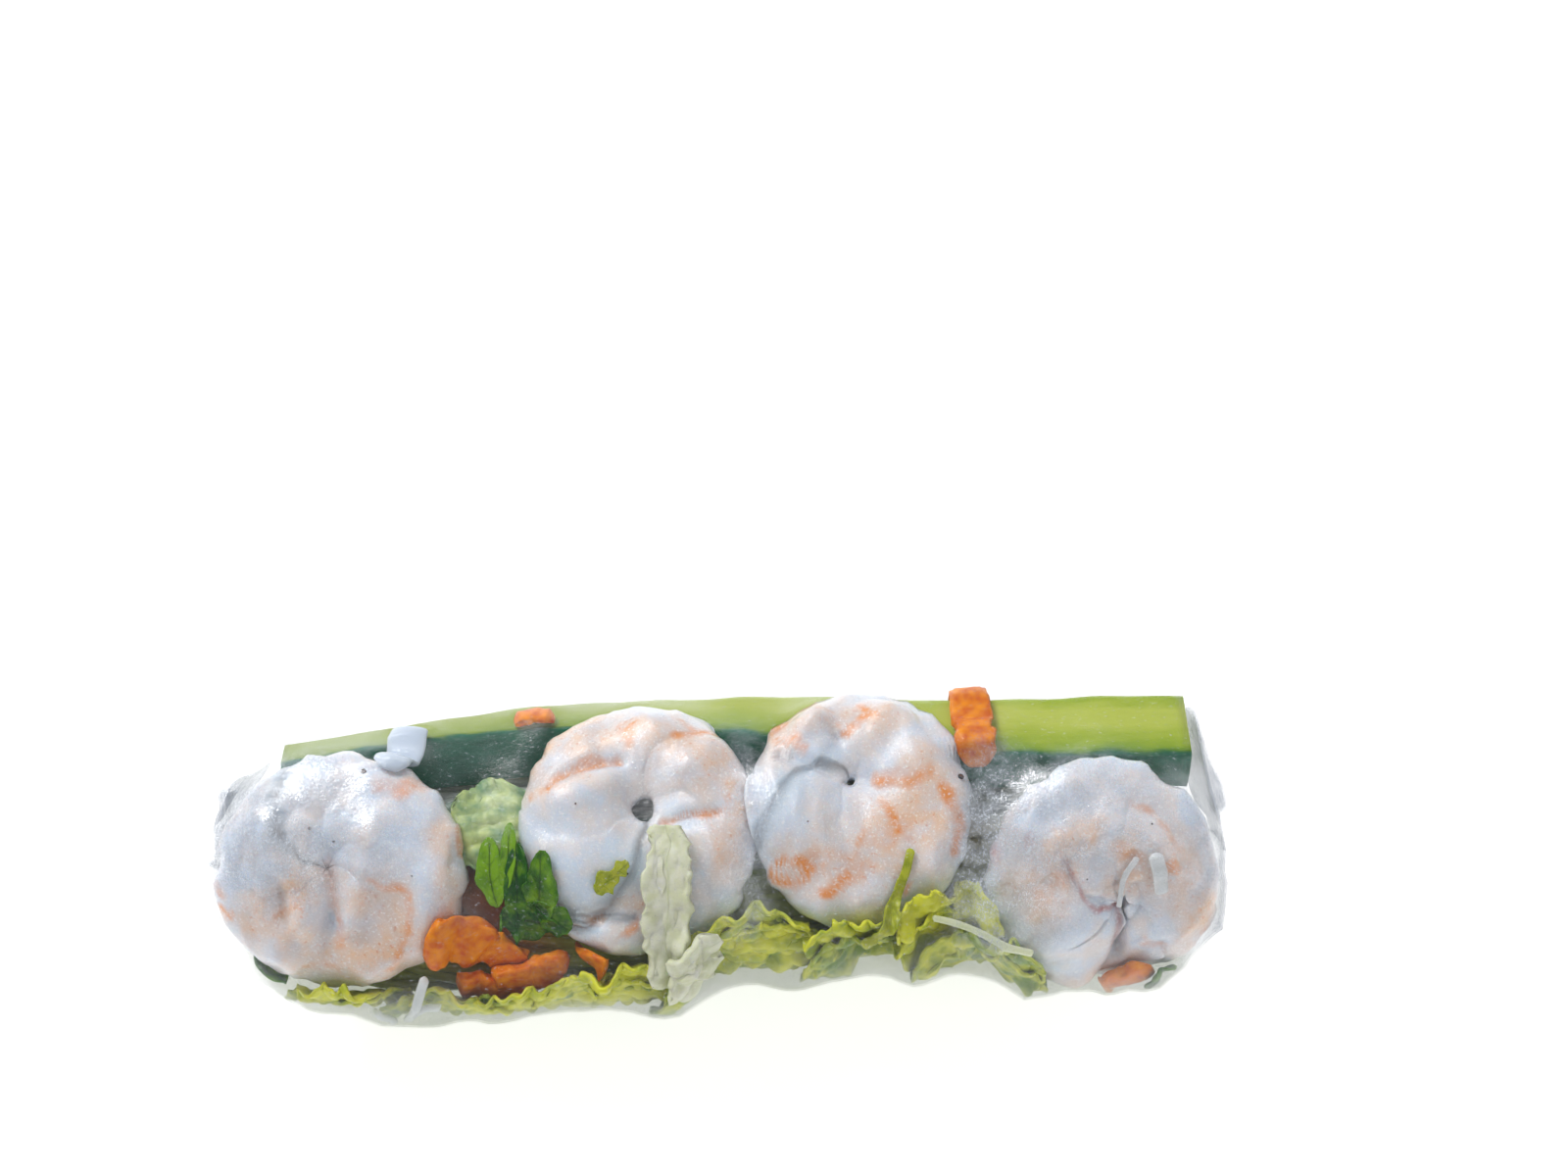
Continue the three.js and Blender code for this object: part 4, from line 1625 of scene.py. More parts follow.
@dataclass
class NoodleBundle(Piece):
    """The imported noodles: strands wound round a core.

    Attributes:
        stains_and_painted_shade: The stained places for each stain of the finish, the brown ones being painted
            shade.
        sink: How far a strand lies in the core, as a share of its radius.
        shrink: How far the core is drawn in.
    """

    node: str = "noodle_bundle"
    slot: ClassVar[str] = "noodle"
    stains_and_painted_shade: dict[str, Sequence[Spot]] | None = None
    strands: int = 58
    radius: float = 0.95
    sink: float = 0.7
    rings: int = 80
    sides: int = 8
    seed: int = 11
    voxel: float = 0.9
    shrink: float = 0.7

    def core(self) -> Object:
        """Copies the node's own solid, smooths it and draws it in.

        Returns:
            The copy.
        """
        piece = frame["nodes"][self.node].copy()
        piece.data = piece.data.copy()
        bpy.context.scene.collection.objects.link(piece)
        piece.parent = None
        piece.hide_viewport = piece.hide_render = False
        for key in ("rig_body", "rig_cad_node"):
            if key in piece:
                del piece[key]
        activate(piece)
        named(self.node)
        bpy.ops.object.mode_set(mode="EDIT")
        bpy.ops.mesh.select_all(action="SELECT")
        bpy.ops.mesh.remove_doubles(threshold=1e-5)
        bpy.ops.object.mode_set(mode="OBJECT")
        apply_modifier(piece, "REMESH", mode="VOXEL", voxel_size=self.voxel * MM)
        apply_modifier(piece, "SMOOTH", factor=0.5, iterations=6)
        apply_modifier(piece, "DISPLACE", strength=-self.shrink * MM, mid_level=0.0)
        return piece

    def build(self, layers: Layers) -> Object:
        """Makes the core and winds the strands over it, under the other pieces.

        Args:
            layers: What is laid so far.

        Returns:
            The bundle.
        """
        core = self.core()
        ground = Layers(layers.wrap)
        ground.add(core)
        limit = -spread(-layers.near, 2)
        rng = np.random.default_rng(self.seed)
        strands = [self.strand(n * TURN / self.strands, rng, ground, limit) for n in range(self.strands)]
        piece = join([core, *strands], self.node)
        along, around, _ = layers.wrap.read(vertices(piece) / MM)
        # stores the stains and the painted shade on the bundle
        for kind, spots in (self.stains_and_painted_shade or {}).items():
            store(piece, kind, patches(spots, along, around, layers.wrap.arc_radius))
        return piece

    def strand(self, start: float, rng: np.random.Generator, ground: Layers, limit: Array) -> Object:
        """Winds one strand along the core.

        Args:
            start: Where around the core it lies.
            rng: Draws its course.
            ground: The core alone.
            limit: How near to the spine the other pieces reach.

        Returns:
            The strand, closed.
        """
        start = start + rng.uniform(-3, 3)
        ends = rng.uniform(60, 74, 2)
        along = np.linspace(-ends[0], ends[1], self.rings + 1)
        phase = rng.uniform(0, CIRCLE, 3)
        around = start + rng.uniform(-9, 9) * along / 60
        around = around + rng.uniform(2, 7) * np.sin(along / rng.uniform(7, 15) + phase[0])
        around = around + 1.6 * np.sin(along / 3.6 + phase[1])
        hidden = smooth(np.cos(np.radians(around - 25)), 0.1, 0.5)
        sink = self.sink + 1.1 * hidden - 0.5 * rng.uniform(-1, 1)
        out = ground.read(ground.far, along, around) + self.radius * (1 - sink)
        out = np.minimum(out, ground.read(limit, along, around) - self.radius - GAP)
        for _ in range(3):
            out = np.convolve(np.pad(out, 2, mode="edge"), np.ones(5) / 5, mode="valid")
        return self.noodle(rested(ground.wrap.place(along, around, out), self.radius + 0.9))

    def noodle(self, middle: Array) -> Object:
        """Makes a round noodle.

        Args:
            middle: The points of its middle line.

        Returns:
            The noodle, closed.
        """
        blank = Blank.tube("strand", len(middle) - 1, self.sides)
        way = np.gradient(middle, axis=0)
        way /= np.linalg.norm(way, axis=1, keepdims=True)
        side = np.cross(way, (0.0, 0.31, 0.95))
        side /= np.linalg.norm(side, axis=1, keepdims=True)
        top = np.cross(side, way)
        c = round_columns(self.sides)[..., None]
        ring = side[:, None] * np.cos(c) + top[:, None] * np.sin(c)
        return blank.shape(middle[:, None] + self.radius * ring).piece


@dataclass(frozen=True)
class Fold:
    """A fold of the sheet: a ridge along a short route, with the milkiness of its extra layers."""

    route: Route
    half: float
    rise: float
    milk: float = 1.0


@dataclass(frozen=True)
class Flap:
    """A second layer of the sheet that lies on the first, between two routes of alike stops."""

    near: Route
    far: Route
    lift: float = 0.5
    milk: float = 0.6
    rows: int = 50
    columns: int = 24


def rested(points: Array, least: float) -> Array:
    """Keeps new points at least so far above the table, and returns them."""
    points[..., 2] = np.maximum(points[..., 2], least)
    return points


@dataclass
class RicePaper(Piece):
    """The sheet: a film drawn tight over everything, flat where it rests, with folded ends.

    Attributes:
        lean: Degrees that it bends over each round end.
        cling: How far each round of drawing it tight draws it in.
        bridging: Rounds before those, in which it only bridges hollows.
        least: It lies nowhere under this distance from the spine.
        frosts: Where it is frosted: a milky white with painted sparkle highlights.
        puffs: Where it stands off.
    """

    node: str = "rice_paper"
    slot: ClassVar[str] = "rice_paper"
    rows: int = 216
    columns: int = 160
    lean: float = 86.0
    thickness: float = 0.3
    clearance: float = 0.12
    cling: float = 0.012
    bridging: int = 40
    rounds: int = 1200
    least: float = 12.0
    folds: Sequence[Fold] = ()
    flaps: Sequence[Flap] = ()
    frosts: Sequence[Spot] = ()
    puffs: Sequence[Spot] = ()

    def solve(self, layers: Layers, along: Array, around: Array) -> tuple[Array, Array]:
        """Draws the film tight.

        Args:
            layers: What it covers.
            along: Grid of distances along the roll.
            around: Grid of degrees around it.

        Returns:
            The film's distance from the spine, and that of what lies under it.
        """
        under = layers.read(spread(layers.far, 2), along, around)
        floor = np.maximum(under + self.thickness + self.clearance, self.least)
        for puff in self.puffs:
            floor = np.maximum(floor, puff.amount - 2.0 * puff.away(along, around, layers.wrap.arc_radius))
        heights = floor
        for n in range(self.bridging + self.rounds):
            drawn = neighbours(heights) - (self.cling if n >= self.bridging else 0.0)
            heights = np.maximum(drawn, floor)
        return eased(heights, 2), layers.read(layers.far, along, around)

    def build(self, layers: Layers) -> Object:
        """Makes the film and its flaps over what is laid.

        Args:
            layers: What is laid so far.

        Returns:
            The sheet.
        """
        wrap = layers.wrap
        reach = wrap.spine + math.radians(self.lean) * wrap.cap_radius
        along = np.linspace(-reach, reach, self.rows + 1)[:, None] + np.zeros((1, self.columns))
        around = np.zeros((self.rows + 1, 1)) + np.arange(self.columns)[None, :] * TURN / self.columns
        heights, under = self.solve(layers, along, around)
        rise, milk = self.creased(wrap, along, around)
        heights = heights + rise
        points = rested(wrap.place(along, around, heights), TABLE)
        points = points + 0.1 * Waves(21, 4.5).at(points)[..., None] * (points - wrap.centre) / 20
        rested(points, TABLE)
        ends = smooth(np.abs(along), 60, 70)
        front = smooth(around + 5 * Waves(23, 14).at(points), 74, 108) * (1 - smooth(around, 150, 190))
        blank = Blank.tube(self.node, self.rows, self.columns)
        blank.shape(points)
        # frosted spots with painted sparkle highlights
        frost = patches(self.frosts, along, around, wrap.arc_radius)
        haze = self.hazed(heights - under, ends, around + 6 * Waves(24, 16).at(points))
        blank.mark(haze=haze, deep=front * (1 - ends), fold=milk, frost=frost)
        made = [blank.piece]
        made.extend(self.flap(flap, wrap, heights, reach) for flap in self.flaps)
        for piece in made:
            thicken(piece, self.thickness)
        return join(made, self.node)

    @staticmethod
    def hazed(gap: Array, ends: Array, turned: Array) -> Array:
        """Finds how hazy the film is: at its ends, at the back and where it stands off.

        Args:
            gap: How far it stands off.
            ends: 1 at the ends of the roll, 0 elsewhere.
            turned: Degrees around the roll, made uneven.

        Returns:
            The haze, from 0 to 1.
        """
        thinning = 1 - 0.55 * smooth(turned, 268, 284)
        back = smooth(turned, 165, 190) * thinning * (1 - smooth(turned, 296, 316))
        haze = 0.08 * np.clip((gap - 1.5) / 5.0, 0, 1)
        return eased(np.clip(haze + 0.35 * ends + 0.6 * back, 0, 1), 3)

    def creased(self, wrap: Wrap, along: Array, around: Array) -> tuple[Array, Array]:
        """Finds what the folds do to the film.

        Args:
            wrap: The roll's coordinates.
            along: Grid of distances along the roll.
            around: Grid of degrees around it.

        Returns:
            How far they raise it, and how milky they make it.
        """
        rise, milk = np.zeros(along.shape), np.zeros(along.shape)
        for fold in self.folds:
            path, _ = along_route(fold.route, np.linspace(0, 1, 24), wrap.arc_radius)
            start = fold.route[0][1]
            y = np.radians(off_by(around, start) + start) * wrap.arc_radius
            away = np.min([np.hypot(along - px, y - py) for px, py in path], axis=0)
            sharp = bell(away, fold.half)
            rise = np.maximum(rise, fold.rise * sharp)
            milk = np.maximum(milk, fold.milk * sharp**0.5)
        return rise, milk

    @staticmethod
    def flap(flap: Flap, wrap: Wrap, heights: Array, reach: float) -> Object:
        """Makes one flap over the film.

        Args:
            flap: The flap.
            wrap: The roll's coordinates.
            heights: The film's distance from the spine.
            reach: How far the film goes to each side of the middle.

        Returns:
            The flap, still without thickness.
        """
        blank = Blank.sheet("flap", flap.rows, flap.columns)
        share = np.linspace(0, 1, flap.rows + 1)
        one, two = (along_route(route, share, wrap.arc_radius)[0] for route in (flap.near, flap.far))
        t = np.linspace(0, 1, flap.columns + 1)[None, :, None]
        plan = one[:, None] * (1 - t) + two[:, None] * t
        at, turn = plan[..., 0], np.degrees(plan[..., 1] / wrap.arc_radius)
        film = sample(heights, at, turn, reach)
        blank.shape(rested(wrap.place(at, turn, film + flap.lift), 2 * TABLE))
        blank.mark(haze=0.0, deep=0.0, fold=flap.milk, frost=0.0)
        return blank.piece


@dataclass
class PepperSpecks:
    """Coarse pepper under the film, by along, around and size."""

    specks: Sequence[tuple[float, float, float]] = (
        (-50.6, 10.7, 0.42), (-47.9, 15.4, 0.32), (32.1, -2.8, 0.75), (-43.9, -11.0, 0.6), (54.9, 21.1, 0.24),
        (47.3, 41.0, 0.22), (12.2, 15.4, 0.2), (-10.8, 32.0, 0.24), (-38.0, 30.0, 0.2), (-17.0, 6.0, 0.2),
    )
    rough: float = 0.35
    lift: float = 0.15

    def lay(self, layers: Layers, material: Material) -> None:
        """Makes the grains on the outermost piece at their places, and dresses them.

        Args:
            layers: What they lie on.
            material: Their finish.
        """
        made = []
        for n, (along, around, size) in enumerate(self.specks):
            bpy.ops.object.select_all(action="DESELECT")
            bpy.ops.mesh.primitive_ico_sphere_add(subdivisions=2, radius=size / 2, location=(0, 0, 0))
            piece = named("grain")
            at = vertices(piece)
            at *= 1 + self.rough * Waves(40 + n, size).at(at)[:, None]
            place = np.array([along]), np.array([around % TURN])
            on = layers.read(layers.far, *place) + self.lift * size
            at += layers.wrap.place(np.array([along]), np.array([around]), on)
            piece.data.vertices.foreach_set("co", (at * MM).ravel())
            made.append(piece)
        dress(join(made, "pepper_specks"), material)


# ---------------------------------------------------------------- the layout
STREAKS_1 = (
    orange(1.2, (5.1, 10.3), (8, 9.8), (11.2, 10.4), amount=0.75),
    orange(0.5, (14.8, 8.4), (15.4, 6.4), (16.0, 2.4), amount=0.9),
    blush(2.6, (-11, -4.5), (-7.8, -2.9), (-5, -0.4)),
    orange(0.9, (-9.5, -4.6), (-5.4, -1.4), amount=0.45),
    orange(0.6, (-15.6, -0.6), (-14.8, -1.2)),
    orange(0.7, (-15.2, -3.6), (-14.4, -3.8)),
    orange(1.5, (-1.6, 1.2), (-1.2, -2.6), (0, -6.5), amount=0.5),
    orange(0.5, (3.8, 0.2), (5.6, -0.7), (8.3, -0.8), (8.7, -5.8), (6.2, -10.4), amount=0.7),
    blush(3.4, (5, -2), (7, -8), (3, -8)),
    blush(2.6, (-6, -3), (-5, -10), (-1, -8), amount=0.8),
    blush(3.2, (2, -12), (8, -11), (12, -7), amount=0.7),
    blush(2.0, (13, 5), (14, -2), amount=0.6),
    orange(0.8, (-8.4, -12.9), (-5.6, -13.3), amount=0.4),
    orange(0.9, (-5, -10.4), (-0.9, -9.9), amount=0.4),
    ridge(2.0, 1.0, (-9.4, 6.8), (-6.9, 1.1)),
    ridge(1.8, 1.0, (-4.0, 5.2), (-4.7, -4.2)),
    ridge(1.8, 1.0, (4.4, 4.6)),
    ridge(1.4, 0.7, (2.6, 1.1), (1.3, -4.2)),
    ridge(2.6, 0.9, (-8.4, -8.3)),
    ridge(3.4, 0.9, (3.2, -10.2)),
    ridge(3.2, 0.7, (12.2, -1), (10.1, -8)),
    ridge(1.2, -0.8, (-1, 3), (-1.6, -5)),
    ridge(1.0, -0.6, (-8, 0.5), (-7.6, -4)),
)
STREAKS_2 = (
    orange(0.45, (-11.3, 4.7), (-9.5, 5.6), (-6.5, 7.1), (-2.1, 7.4), amount=0.95),
    orange(0.8, (-2.3, 12), (-1.2, 10.8), (-0.9, 9.2), amount=0.8),
    orange(0.4, (-0.3, 12.2), (-0.5, 11.2)),
    orange(0.8, (5.4, 9.6), (7.5, 10.6), amount=0.8),
    orange(0.45, (6, 12.2), (7.5, 10.6), (11.6, 11), (12.6, 10.5), amount=0.85),
    orange(0.5, (3, 0.1), (6.3, 0.6), (9.9, 0.9), (11.4, 2.3), amount=0.75),
    blush(1.8, (-14.9, 5.9), (-12.5, 9.5), (-8.9, 12.5), (-5.6, 14.2)),
    orange(0.4, (-13.2, 3.4), amount=0.9),
    orange(0.4, (-8.8, -11.7), (-7.7, -10.5), (-5, -10), amount=0.8),
    orange(0.5, (-2.1, -12.1), (-0.3, -10.8), amount=0.8),
    blush(1.4, (-3.3, -9), (3.3, -8.4), amount=0.8),
    blush(2.4, (9, 4.2), (11.4, 7.4), (12.8, 1), (10.5, -4), amount=0.8),
    blush(3.0, (-7, 10), (-2, 11.4), (3, 9), (8, 8), amount=0.75),
    blush(2.4, (-12, 5), (-8, 6), amount=0.7),
    ridge(5.4, 1.1, (-7.6, -3)),
    ridge(2.2, 0.9, (-10, 3), (-3.6, 4.7)),
    ridge(2.8, 0.8, (2.6, 11.4)),
    ridge(2.8, 0.7, (9.9, 9)),
    ridge(2.4, 0.7, (6.2, 6)),
    ridge(3.2, 0.8, (10, -3)),
    ridge(2.8, 1.1, (-4.4, -12.6)),
    ridge(0.7, -0.6, (-11.3, 4.7), (-9.5, 5.6), (-6.5, 7.1), (-2.1, 7.4)),
    ridge(0.7, -0.6, (-8.8, -11), (-5, -9.8), (-1, -10.4)),
    ridge(0.7, -0.5, (3, 0.1), (9.9, 0.9)),
)
STREAKS_3 = (
    orange(1.5, (-13.2, 10.8), (-11, 10.1), (-9.8, 11.3)),
    orange(0.7, (-9.4, 11.4), (-8.6, 13.2), (-5.3, 14.2), amount=0.9),
    orange(0.9, (-10.4, 8.3), (-8.3, 7.6), (-6.5, 6.4), amount=0.8),
    orange(0.8, (-1.3, 8.5), (0, 9.8), (2.1, 10.8)),
    orange(0.4, (0.6, 12.5), (2.1, 10.8), (2.6, 10.2), amount=0.9),
    orange(0.5, (-2.9, 11.9), (-2.6, 9.8), amount=0.5),
    orange(0.9, (10.6, 1.6), (12, -1.2), (12.5, -3), (12.1, -5.7)),
    orange(1.0, (2.4, 2.9), (7.2, 2.6), (9, 3.5), amount=0.8),
    orange(0.6, (2.4, 0.6), (3.6, -1.2), (5.1, -3.2), amount=0.9),
    orange(0.7, (0.3, -3), (-0.6, -5.7), amount=0.7),
    blush(4.6, (4.2, -2.4), (8, -1)),
    blush(3.4, (4, -6), (-2, -7), (-8, -7), amount=0.8),
    orange(2.2, (5, -2.6), (2, -4), amount=0.42),
    red(0.8, (5.7, -4.2), amount=0.4),
    orange(0.5, (-11.9, -7.5), (-11, -6.4), (-8.6, -6.1), (-6.5, -7.2), (-8.6, -8.7),
           (-11.3, -8.4), (-11.9, -7.5)),
    orange(0.6, (-5, -9.6), (-3.4, -8.6), (-1.7, -8.1)),
    orange(1.6, (-6.5, -6), (-2, -7), (0.6, -7.5), amount=0.5),
    orange(0.6, (4.8, -10.5), (6, -9)),
    blush(2.6, (-10, 9), (-5, 12), (3, 10), amount=0.8),
    blush(2.4, (8, 5), (10, 2), amount=0.7),
    ridge(2.6, 1.5, (-5.6, 10.4)),
    ridge(2.2, 1.1, (3.6, 11.6), (6.4, 11)),
    ridge(1.9, 0.8, (1.8, 8)),
    ridge(3.2, 0.6, (7.5, 5.3)),
    ridge(5.0, 1.2, (-9.3, -0.8)),
    ridge(2.2, 0.6, (-11.6, 3.6)),
    ridge(2.6, 0.8, (9.3, -7.2)),
    ridge(2.8, 0.9, (-5.4, -11.4)),
    ridge(2.2, 0.7, (0, -11)),
    ridge(0.8, -0.7, (-10, 6), (-3, 4), (1, 3.6)),
    ridge(0.8, -0.5, (-3, 12.6), (-2.4, 8)),
)
STREAKS_4 = (
    red(0.35, (-7.1, 5.6), (-5.4, 5), (-4.8, 2.9), (-3.3, 0.9), (-0.7, -1.1), (1.3, -1.7), amount=0.85),
    red(0.9, (1.5, -1.2), (1.9, -4.3), (1.5, -6.8), amount=0.6),
    orange(0.7, (8, 4.8), (8.4, 4), amount=1.0),
    orange(0.9, (13.2, -4.7), (12.8, -5.6), amount=0.8),
    blush(3.4, (-9.4, 1.4), (-6.4, 3.4)),
    blush(4.0, (4, 5), (9, 2), amount=0.7),
    orange(1.6, (-8.6, 1.6), (-6.4, 3), amount=0.45),
    blush(2.6, (2.7, 6.1), (5.4, 2.4), (1.9, 2.6)),
    orange(1.8, (1.5, 6.2), (4, 5.4), amount=0.45),
    blush(3.0, (12.4, -1), (11.6, -4)),
    orange(1.4, (7.4, -6.9), (5, -6), amount=0.5),
    # painted shadow: the dark red-brown of the shaded gap at the left edge
    red(1.4, (-15.3, 7.6), (-14.9, 5.4), (-15.5, 4), amount=0.8),
    red(0.4, (-10.3, 7.9), (-10.1, 7.2), amount=0.7),
    red(0.4, (-9.6, 8.4), (-9.4, 7.8), amount=0.7),
    blush(2.0, (-6, 7.6), (-2, 8.2)),
    orange(0.7, (3.6, 11.1), (6.8, 9.3), (9.2, 6), amount=0.5),
    red(1.6, (2.2, -10.4), (5, -11.4), amount=0.45),
    blush(2.4, (2, -11), (-4, -12.4), amount=0.7),
    ridge(4.6, 1.3, (-4.8, -2.6)),
    ridge(3.2, 0.8, (-10, -4.9)),
    ridge(3.0, 0.9, (-3.6, -11.3)),
    ridge(2.6, 0.8, (6.2, -4)),
    ridge(3.4, 0.9, (11.4, -2.6)),
    ridge(3.0, 0.7, (10, -8)),
    ridge(1.8, 0.8, (-6.2, 7.3), (1.6, 9), (7.4, 6.4), (10.3, 3.2)),
    ridge(0.8, -1.1, (1.4, -1.6), (1.9, -4.3), (1.5, -8.6)),
    ridge(0.6, -0.5, (-5.4, 5), (-4.8, 2.9), (-3.3, 0.9), (1.3, -1.7)),
)
SHRIMPS = (
    Shrimp(
        "shrimp_1", along=-47.4, around=31, start=112, turn=1, sweep=382, hole=-0.8, scale=(1.0, 0.97),
        tail=(6.8, 4.0), eye=(-1.2, 1.5), swirl=-50, seed=31, streaks=STREAKS_1,
    ),
    Shrimp(
        "shrimp_2", along=-9.3, around=13.5, start=240, turn=-1, sweep=384, hole=1.5, scale=(0.96, 1.03),
        tail=(7.0, 4.0), eye=(0.8, 2.7), seed=32, streaks=STREAKS_2,
    ),
    Shrimp(
        "shrimp_3", along=19.0, around=8.5, seat=14.2, start=178, turn=1, sweep=384, hole=0.6,
        scale=(0.9, 0.94), tail=(6.8, 4.0), segments=4, eye=(-0.7, 3.6), seed=33, streaks=STREAKS_3,
    ),
    Shrimp(
        "shrimp_4", along=50.0, around=51, seat=15.8, start=248, turn=-1, sweep=366, hole=0.0,
        scale=(0.98, 1.1), eye=(1.6, -0.8), seed=34, streaks=STREAKS_4,
    ),
)
CARROTS = (
    Carrot("carrot_shred_1", ((34.3, -9), (34.1, -28), (33.9, -53)), 4.8, 1.4, 15, seed=1),
    Carrot("carrot_shred_2", ((-25.2, -43), (-22.6, -45), (-20, -44)), 3.2, 1.2, 14, seed=2),
    Carrot("carrot_shred_3", ((-37, 57), (-32.6, 60), (-28.4, 69)), 7.4, 1.8, 17.2, twigs=(
        (((-30, 62), (-27.4, 70), (-25.4, 78)), 5.0),
    ), seed=3),
    Carrot("carrot_shred_4", ((-33.6, 79), (-26.6, 83), (-20, 73)), 4.4, 1.8, 18.4, twigs=(
        (((-29, 75), (-24, 75), (-19, 70)), 3.4),
    ), seed=4),
    Carrot("carrot_shred_5", ((-17.6, 70), (-15.6, 66), (-13.8, 67)), 3.4, 1.4, 16.8, seed=5),
    Carrot("carrot_shred_6", ((49.6, 93), (52.6, 90), (55.6, 87)), 4.4, 1.6, 17.6, seed=6),
)
LETTUCES = (
    Lettuce("lettuce_leaf_1", (
        Blade(((-56, 100), (-48, 104), (-40, 104)), 12, 0.3, wave=0.8, frill=0.1, blunt=0.3, seed=451),
        Blade(((-54, 82), (-48.6, 86), (-43, 84)), 9, 0.9, wave=1.4, seed=51),
        Blade(((-53, 91), (-47, 94), (-40, 93)), 9, 0.7, wave=1.2, seed=151),
    ), 18),
    Lettuce("lettuce_leaf_2", (
        Blade(((-44, 102), (-24, 103), (-6, 100)), 15, 0.4,
              wave=0.8, frill=0.1, blunt=0.25, seed=252, rows=120),
        Blade(((-38.4, 95), (-21, 92), (-7, 86)), 12, 0.8, wave=1.4, seed=52, rows=170, columns=36),
        Blade(((-24, 86), (-13, 81), (-4, 78)), 10, 0.95, wave=1.6, seed=152, rows=100),
        Blade(((-40, 88), (-34, 90), (-26, 90)), 7, 0.95, wave=1.4, seed=352, rows=90),
    ), 19.4),
    Lettuce("lettuce_leaf_3", (
        Blade(((-9, 100), (4, 102), (17, 100)), 15, 0.2,
              wave=0.7, frill=0.08, blunt=0.25, seed=453, rows=90),
        Blade(((-7, 84), (4, 85), (15, 84)), 13, 0.45, wave=1.0, seed=253, rows=90),
        Blade(((-4, 60), (4, 63), (12, 60)), 8, 0.9, wave=1.6, seed=53, rows=90),
        Blade(((-4, 72), (5, 74), (14, 72)), 11, 0.65, wave=1.8, seed=153, rows=110, columns=34),
        Blade(((2, 66), (7, 69), (12.6, 66)), 7, 0.95, wave=1.8, seed=353),
    ), 15.8),
    Lettuce("lettuce_leaf_4", (
        Blade(((11, 98), (19, 100), (28, 98)), 14, 0.3,
              wave=0.7, frill=0.08, blunt=0.25, seed=454, rows=90),
        Blade(((11, 84), (18, 85), (26, 84)), 12, 0.5, wave=1.0, seed=254),
        Blade(((11, 63), (18, 64), (24.6, 62)), 9, 0.6, wave=1.6, seed=54),
        Blade(((12, 74), (18, 75), (25, 73)), 11, 0.25, wave=1.8, seed=154, rows=100, columns=34),
    ), 14.6),
    Lettuce("lettuce_leaf_5", (
        Blade(((22.6, 68), (28, 70), (33, 69)), 11, 0.75, wave=1.8, seed=155, rows=90),
        Blade(((23, 53), (27, 56), (31.4, 56)), 9, 1.0, wave=1.6, seed=55),
        Blade(((31, 47), (33.4, 56), (34, 68)), 6, 1.0, wave=1.8, seed=255),
    ), 14.4),
    Lettuce("lettuce_leaf_6", (
        Blade(((25, 97), (34, 100), (43, 98)), 13, 0.4,
              wave=0.7, frill=0.08, blunt=0.25, seed=456, rows=90),
        Blade(((25, 83), (33, 85), (42, 84)), 12, 0.6, wave=1.2, seed=156, rows=90),
        Blade(((31, 72), (36.6, 76), (42, 75)), 11, 0.3, wave=1.6, seed=56, rows=90),
    ), 16),
)
BED = Lettuce("lettuce_bed", (
    Blade(((-33.6, 6), (-28, 8), (-22.2, 5)), 16, 0.5, wave=0.9, blunt=0.35, seed=57, columns=40),
), 13.2)
SLIVER = Sliver("lettuce_sliver", ((25.2, 27), (23.4, 42), (20.4, 58)), 1.1, 0.4, 16, twigs=(
    (((24, 38), (22.4, 48), (19.6, 58)), 1.3),
    (((23.4, 48), (21.6, 54), (18.4, 58)), 1.2),
), seed=4)
RIBS = (
    Rib("lettuce_rib_1", (
        Blade(((-5.3, 15), (-5.9, 41), (-6.6, 70)), 6.2, 0.6, 0.04, 2, 0.5, 0.14, 0.2, seed=61),
        Blade(((-6.9, 22), (-7.3, 41), (-7.8, 66)), 2.2, 0.8, 0.02, 1, 0.3, 0.05, 0.3, seed=161),
        Blade(((-4.0, 24), (-4.4, 41), (-5.2, 64)), 1.8, 0.3, 0.02, 1, 0.3, 0.05, 0.3, seed=261),
    )),
    Rib("lettuce_rib_2", (
        Blade(((-6.2, 62), (-3.1, 58), (0.4, 53)), 3.0, 0.6, 0.02, 1, 0.4, 0.1, 0.4, seed=62),
        Blade(((-6.2, 66), (-3.0, 64), (0.6, 60)), 2.8, 0.4, 0.02, 1, 0.4, 0.1, 0.4, seed=162),
        Blade(((-6.4, 70), (-3.6, 70), (-0.6, 67)), 2.6, 0.7, 0.02, 1, 0.4, 0.1, 0.4, seed=262),
    )),
)
HERBS = (
    Coriander("coriander_leaf_1", (
        Blade(((-25.2, 57), (-25.0, 38), (-24.6, 19)), 3.4, 0.0, 0.06, 1, 0.3, 0.06, seed=71),
        Blade(((-27.6, 47), (-28.3, 32), (-28.3, 16)), 3.6, 1.0, 0.08, 2, 0.3, 0.08, seed=72),
        Blade(((-26.6, 40), (-26.0, 25), (-25.6, 10)), 2.3, 0.85, 0.06, 1, 0.3, 0.06, seed=172),
        Blade(((-22.4, 53), (-21.8, 38), (-21.4, 22)), 4.2, 0.5, 0.1, 2, 0.3, 0.08, seed=73),
        Blade(((-27.2, 49), (-23.6, 54), (-19.4, 54)), 6.0, 0.15, 0.14, 2, 0.3, 0.1, seed=74),
        Blade(((-23.0, 44), (-20.4, 49), (-18.4, 54)), 4.4, 0.2, 0.12, 2, 0.3, 0.1, seed=75),
    ), 16.4),
    Coriander("coriander_leaf_3", (
        Blade(((-61.8, 76), (-58.4, 80), (-55.2, 82)), 5, 0.3, ruffles=2, wave=0.3, seed=78),
    ), 14),
    Coriander("coriander_leaf_4", (
        Blade(((54.6, 93), (56.4, 91), (58, 88)), 4.2, 0.2, ruffles=2, wave=0.3, seed=79),
    ), 15.2),
)
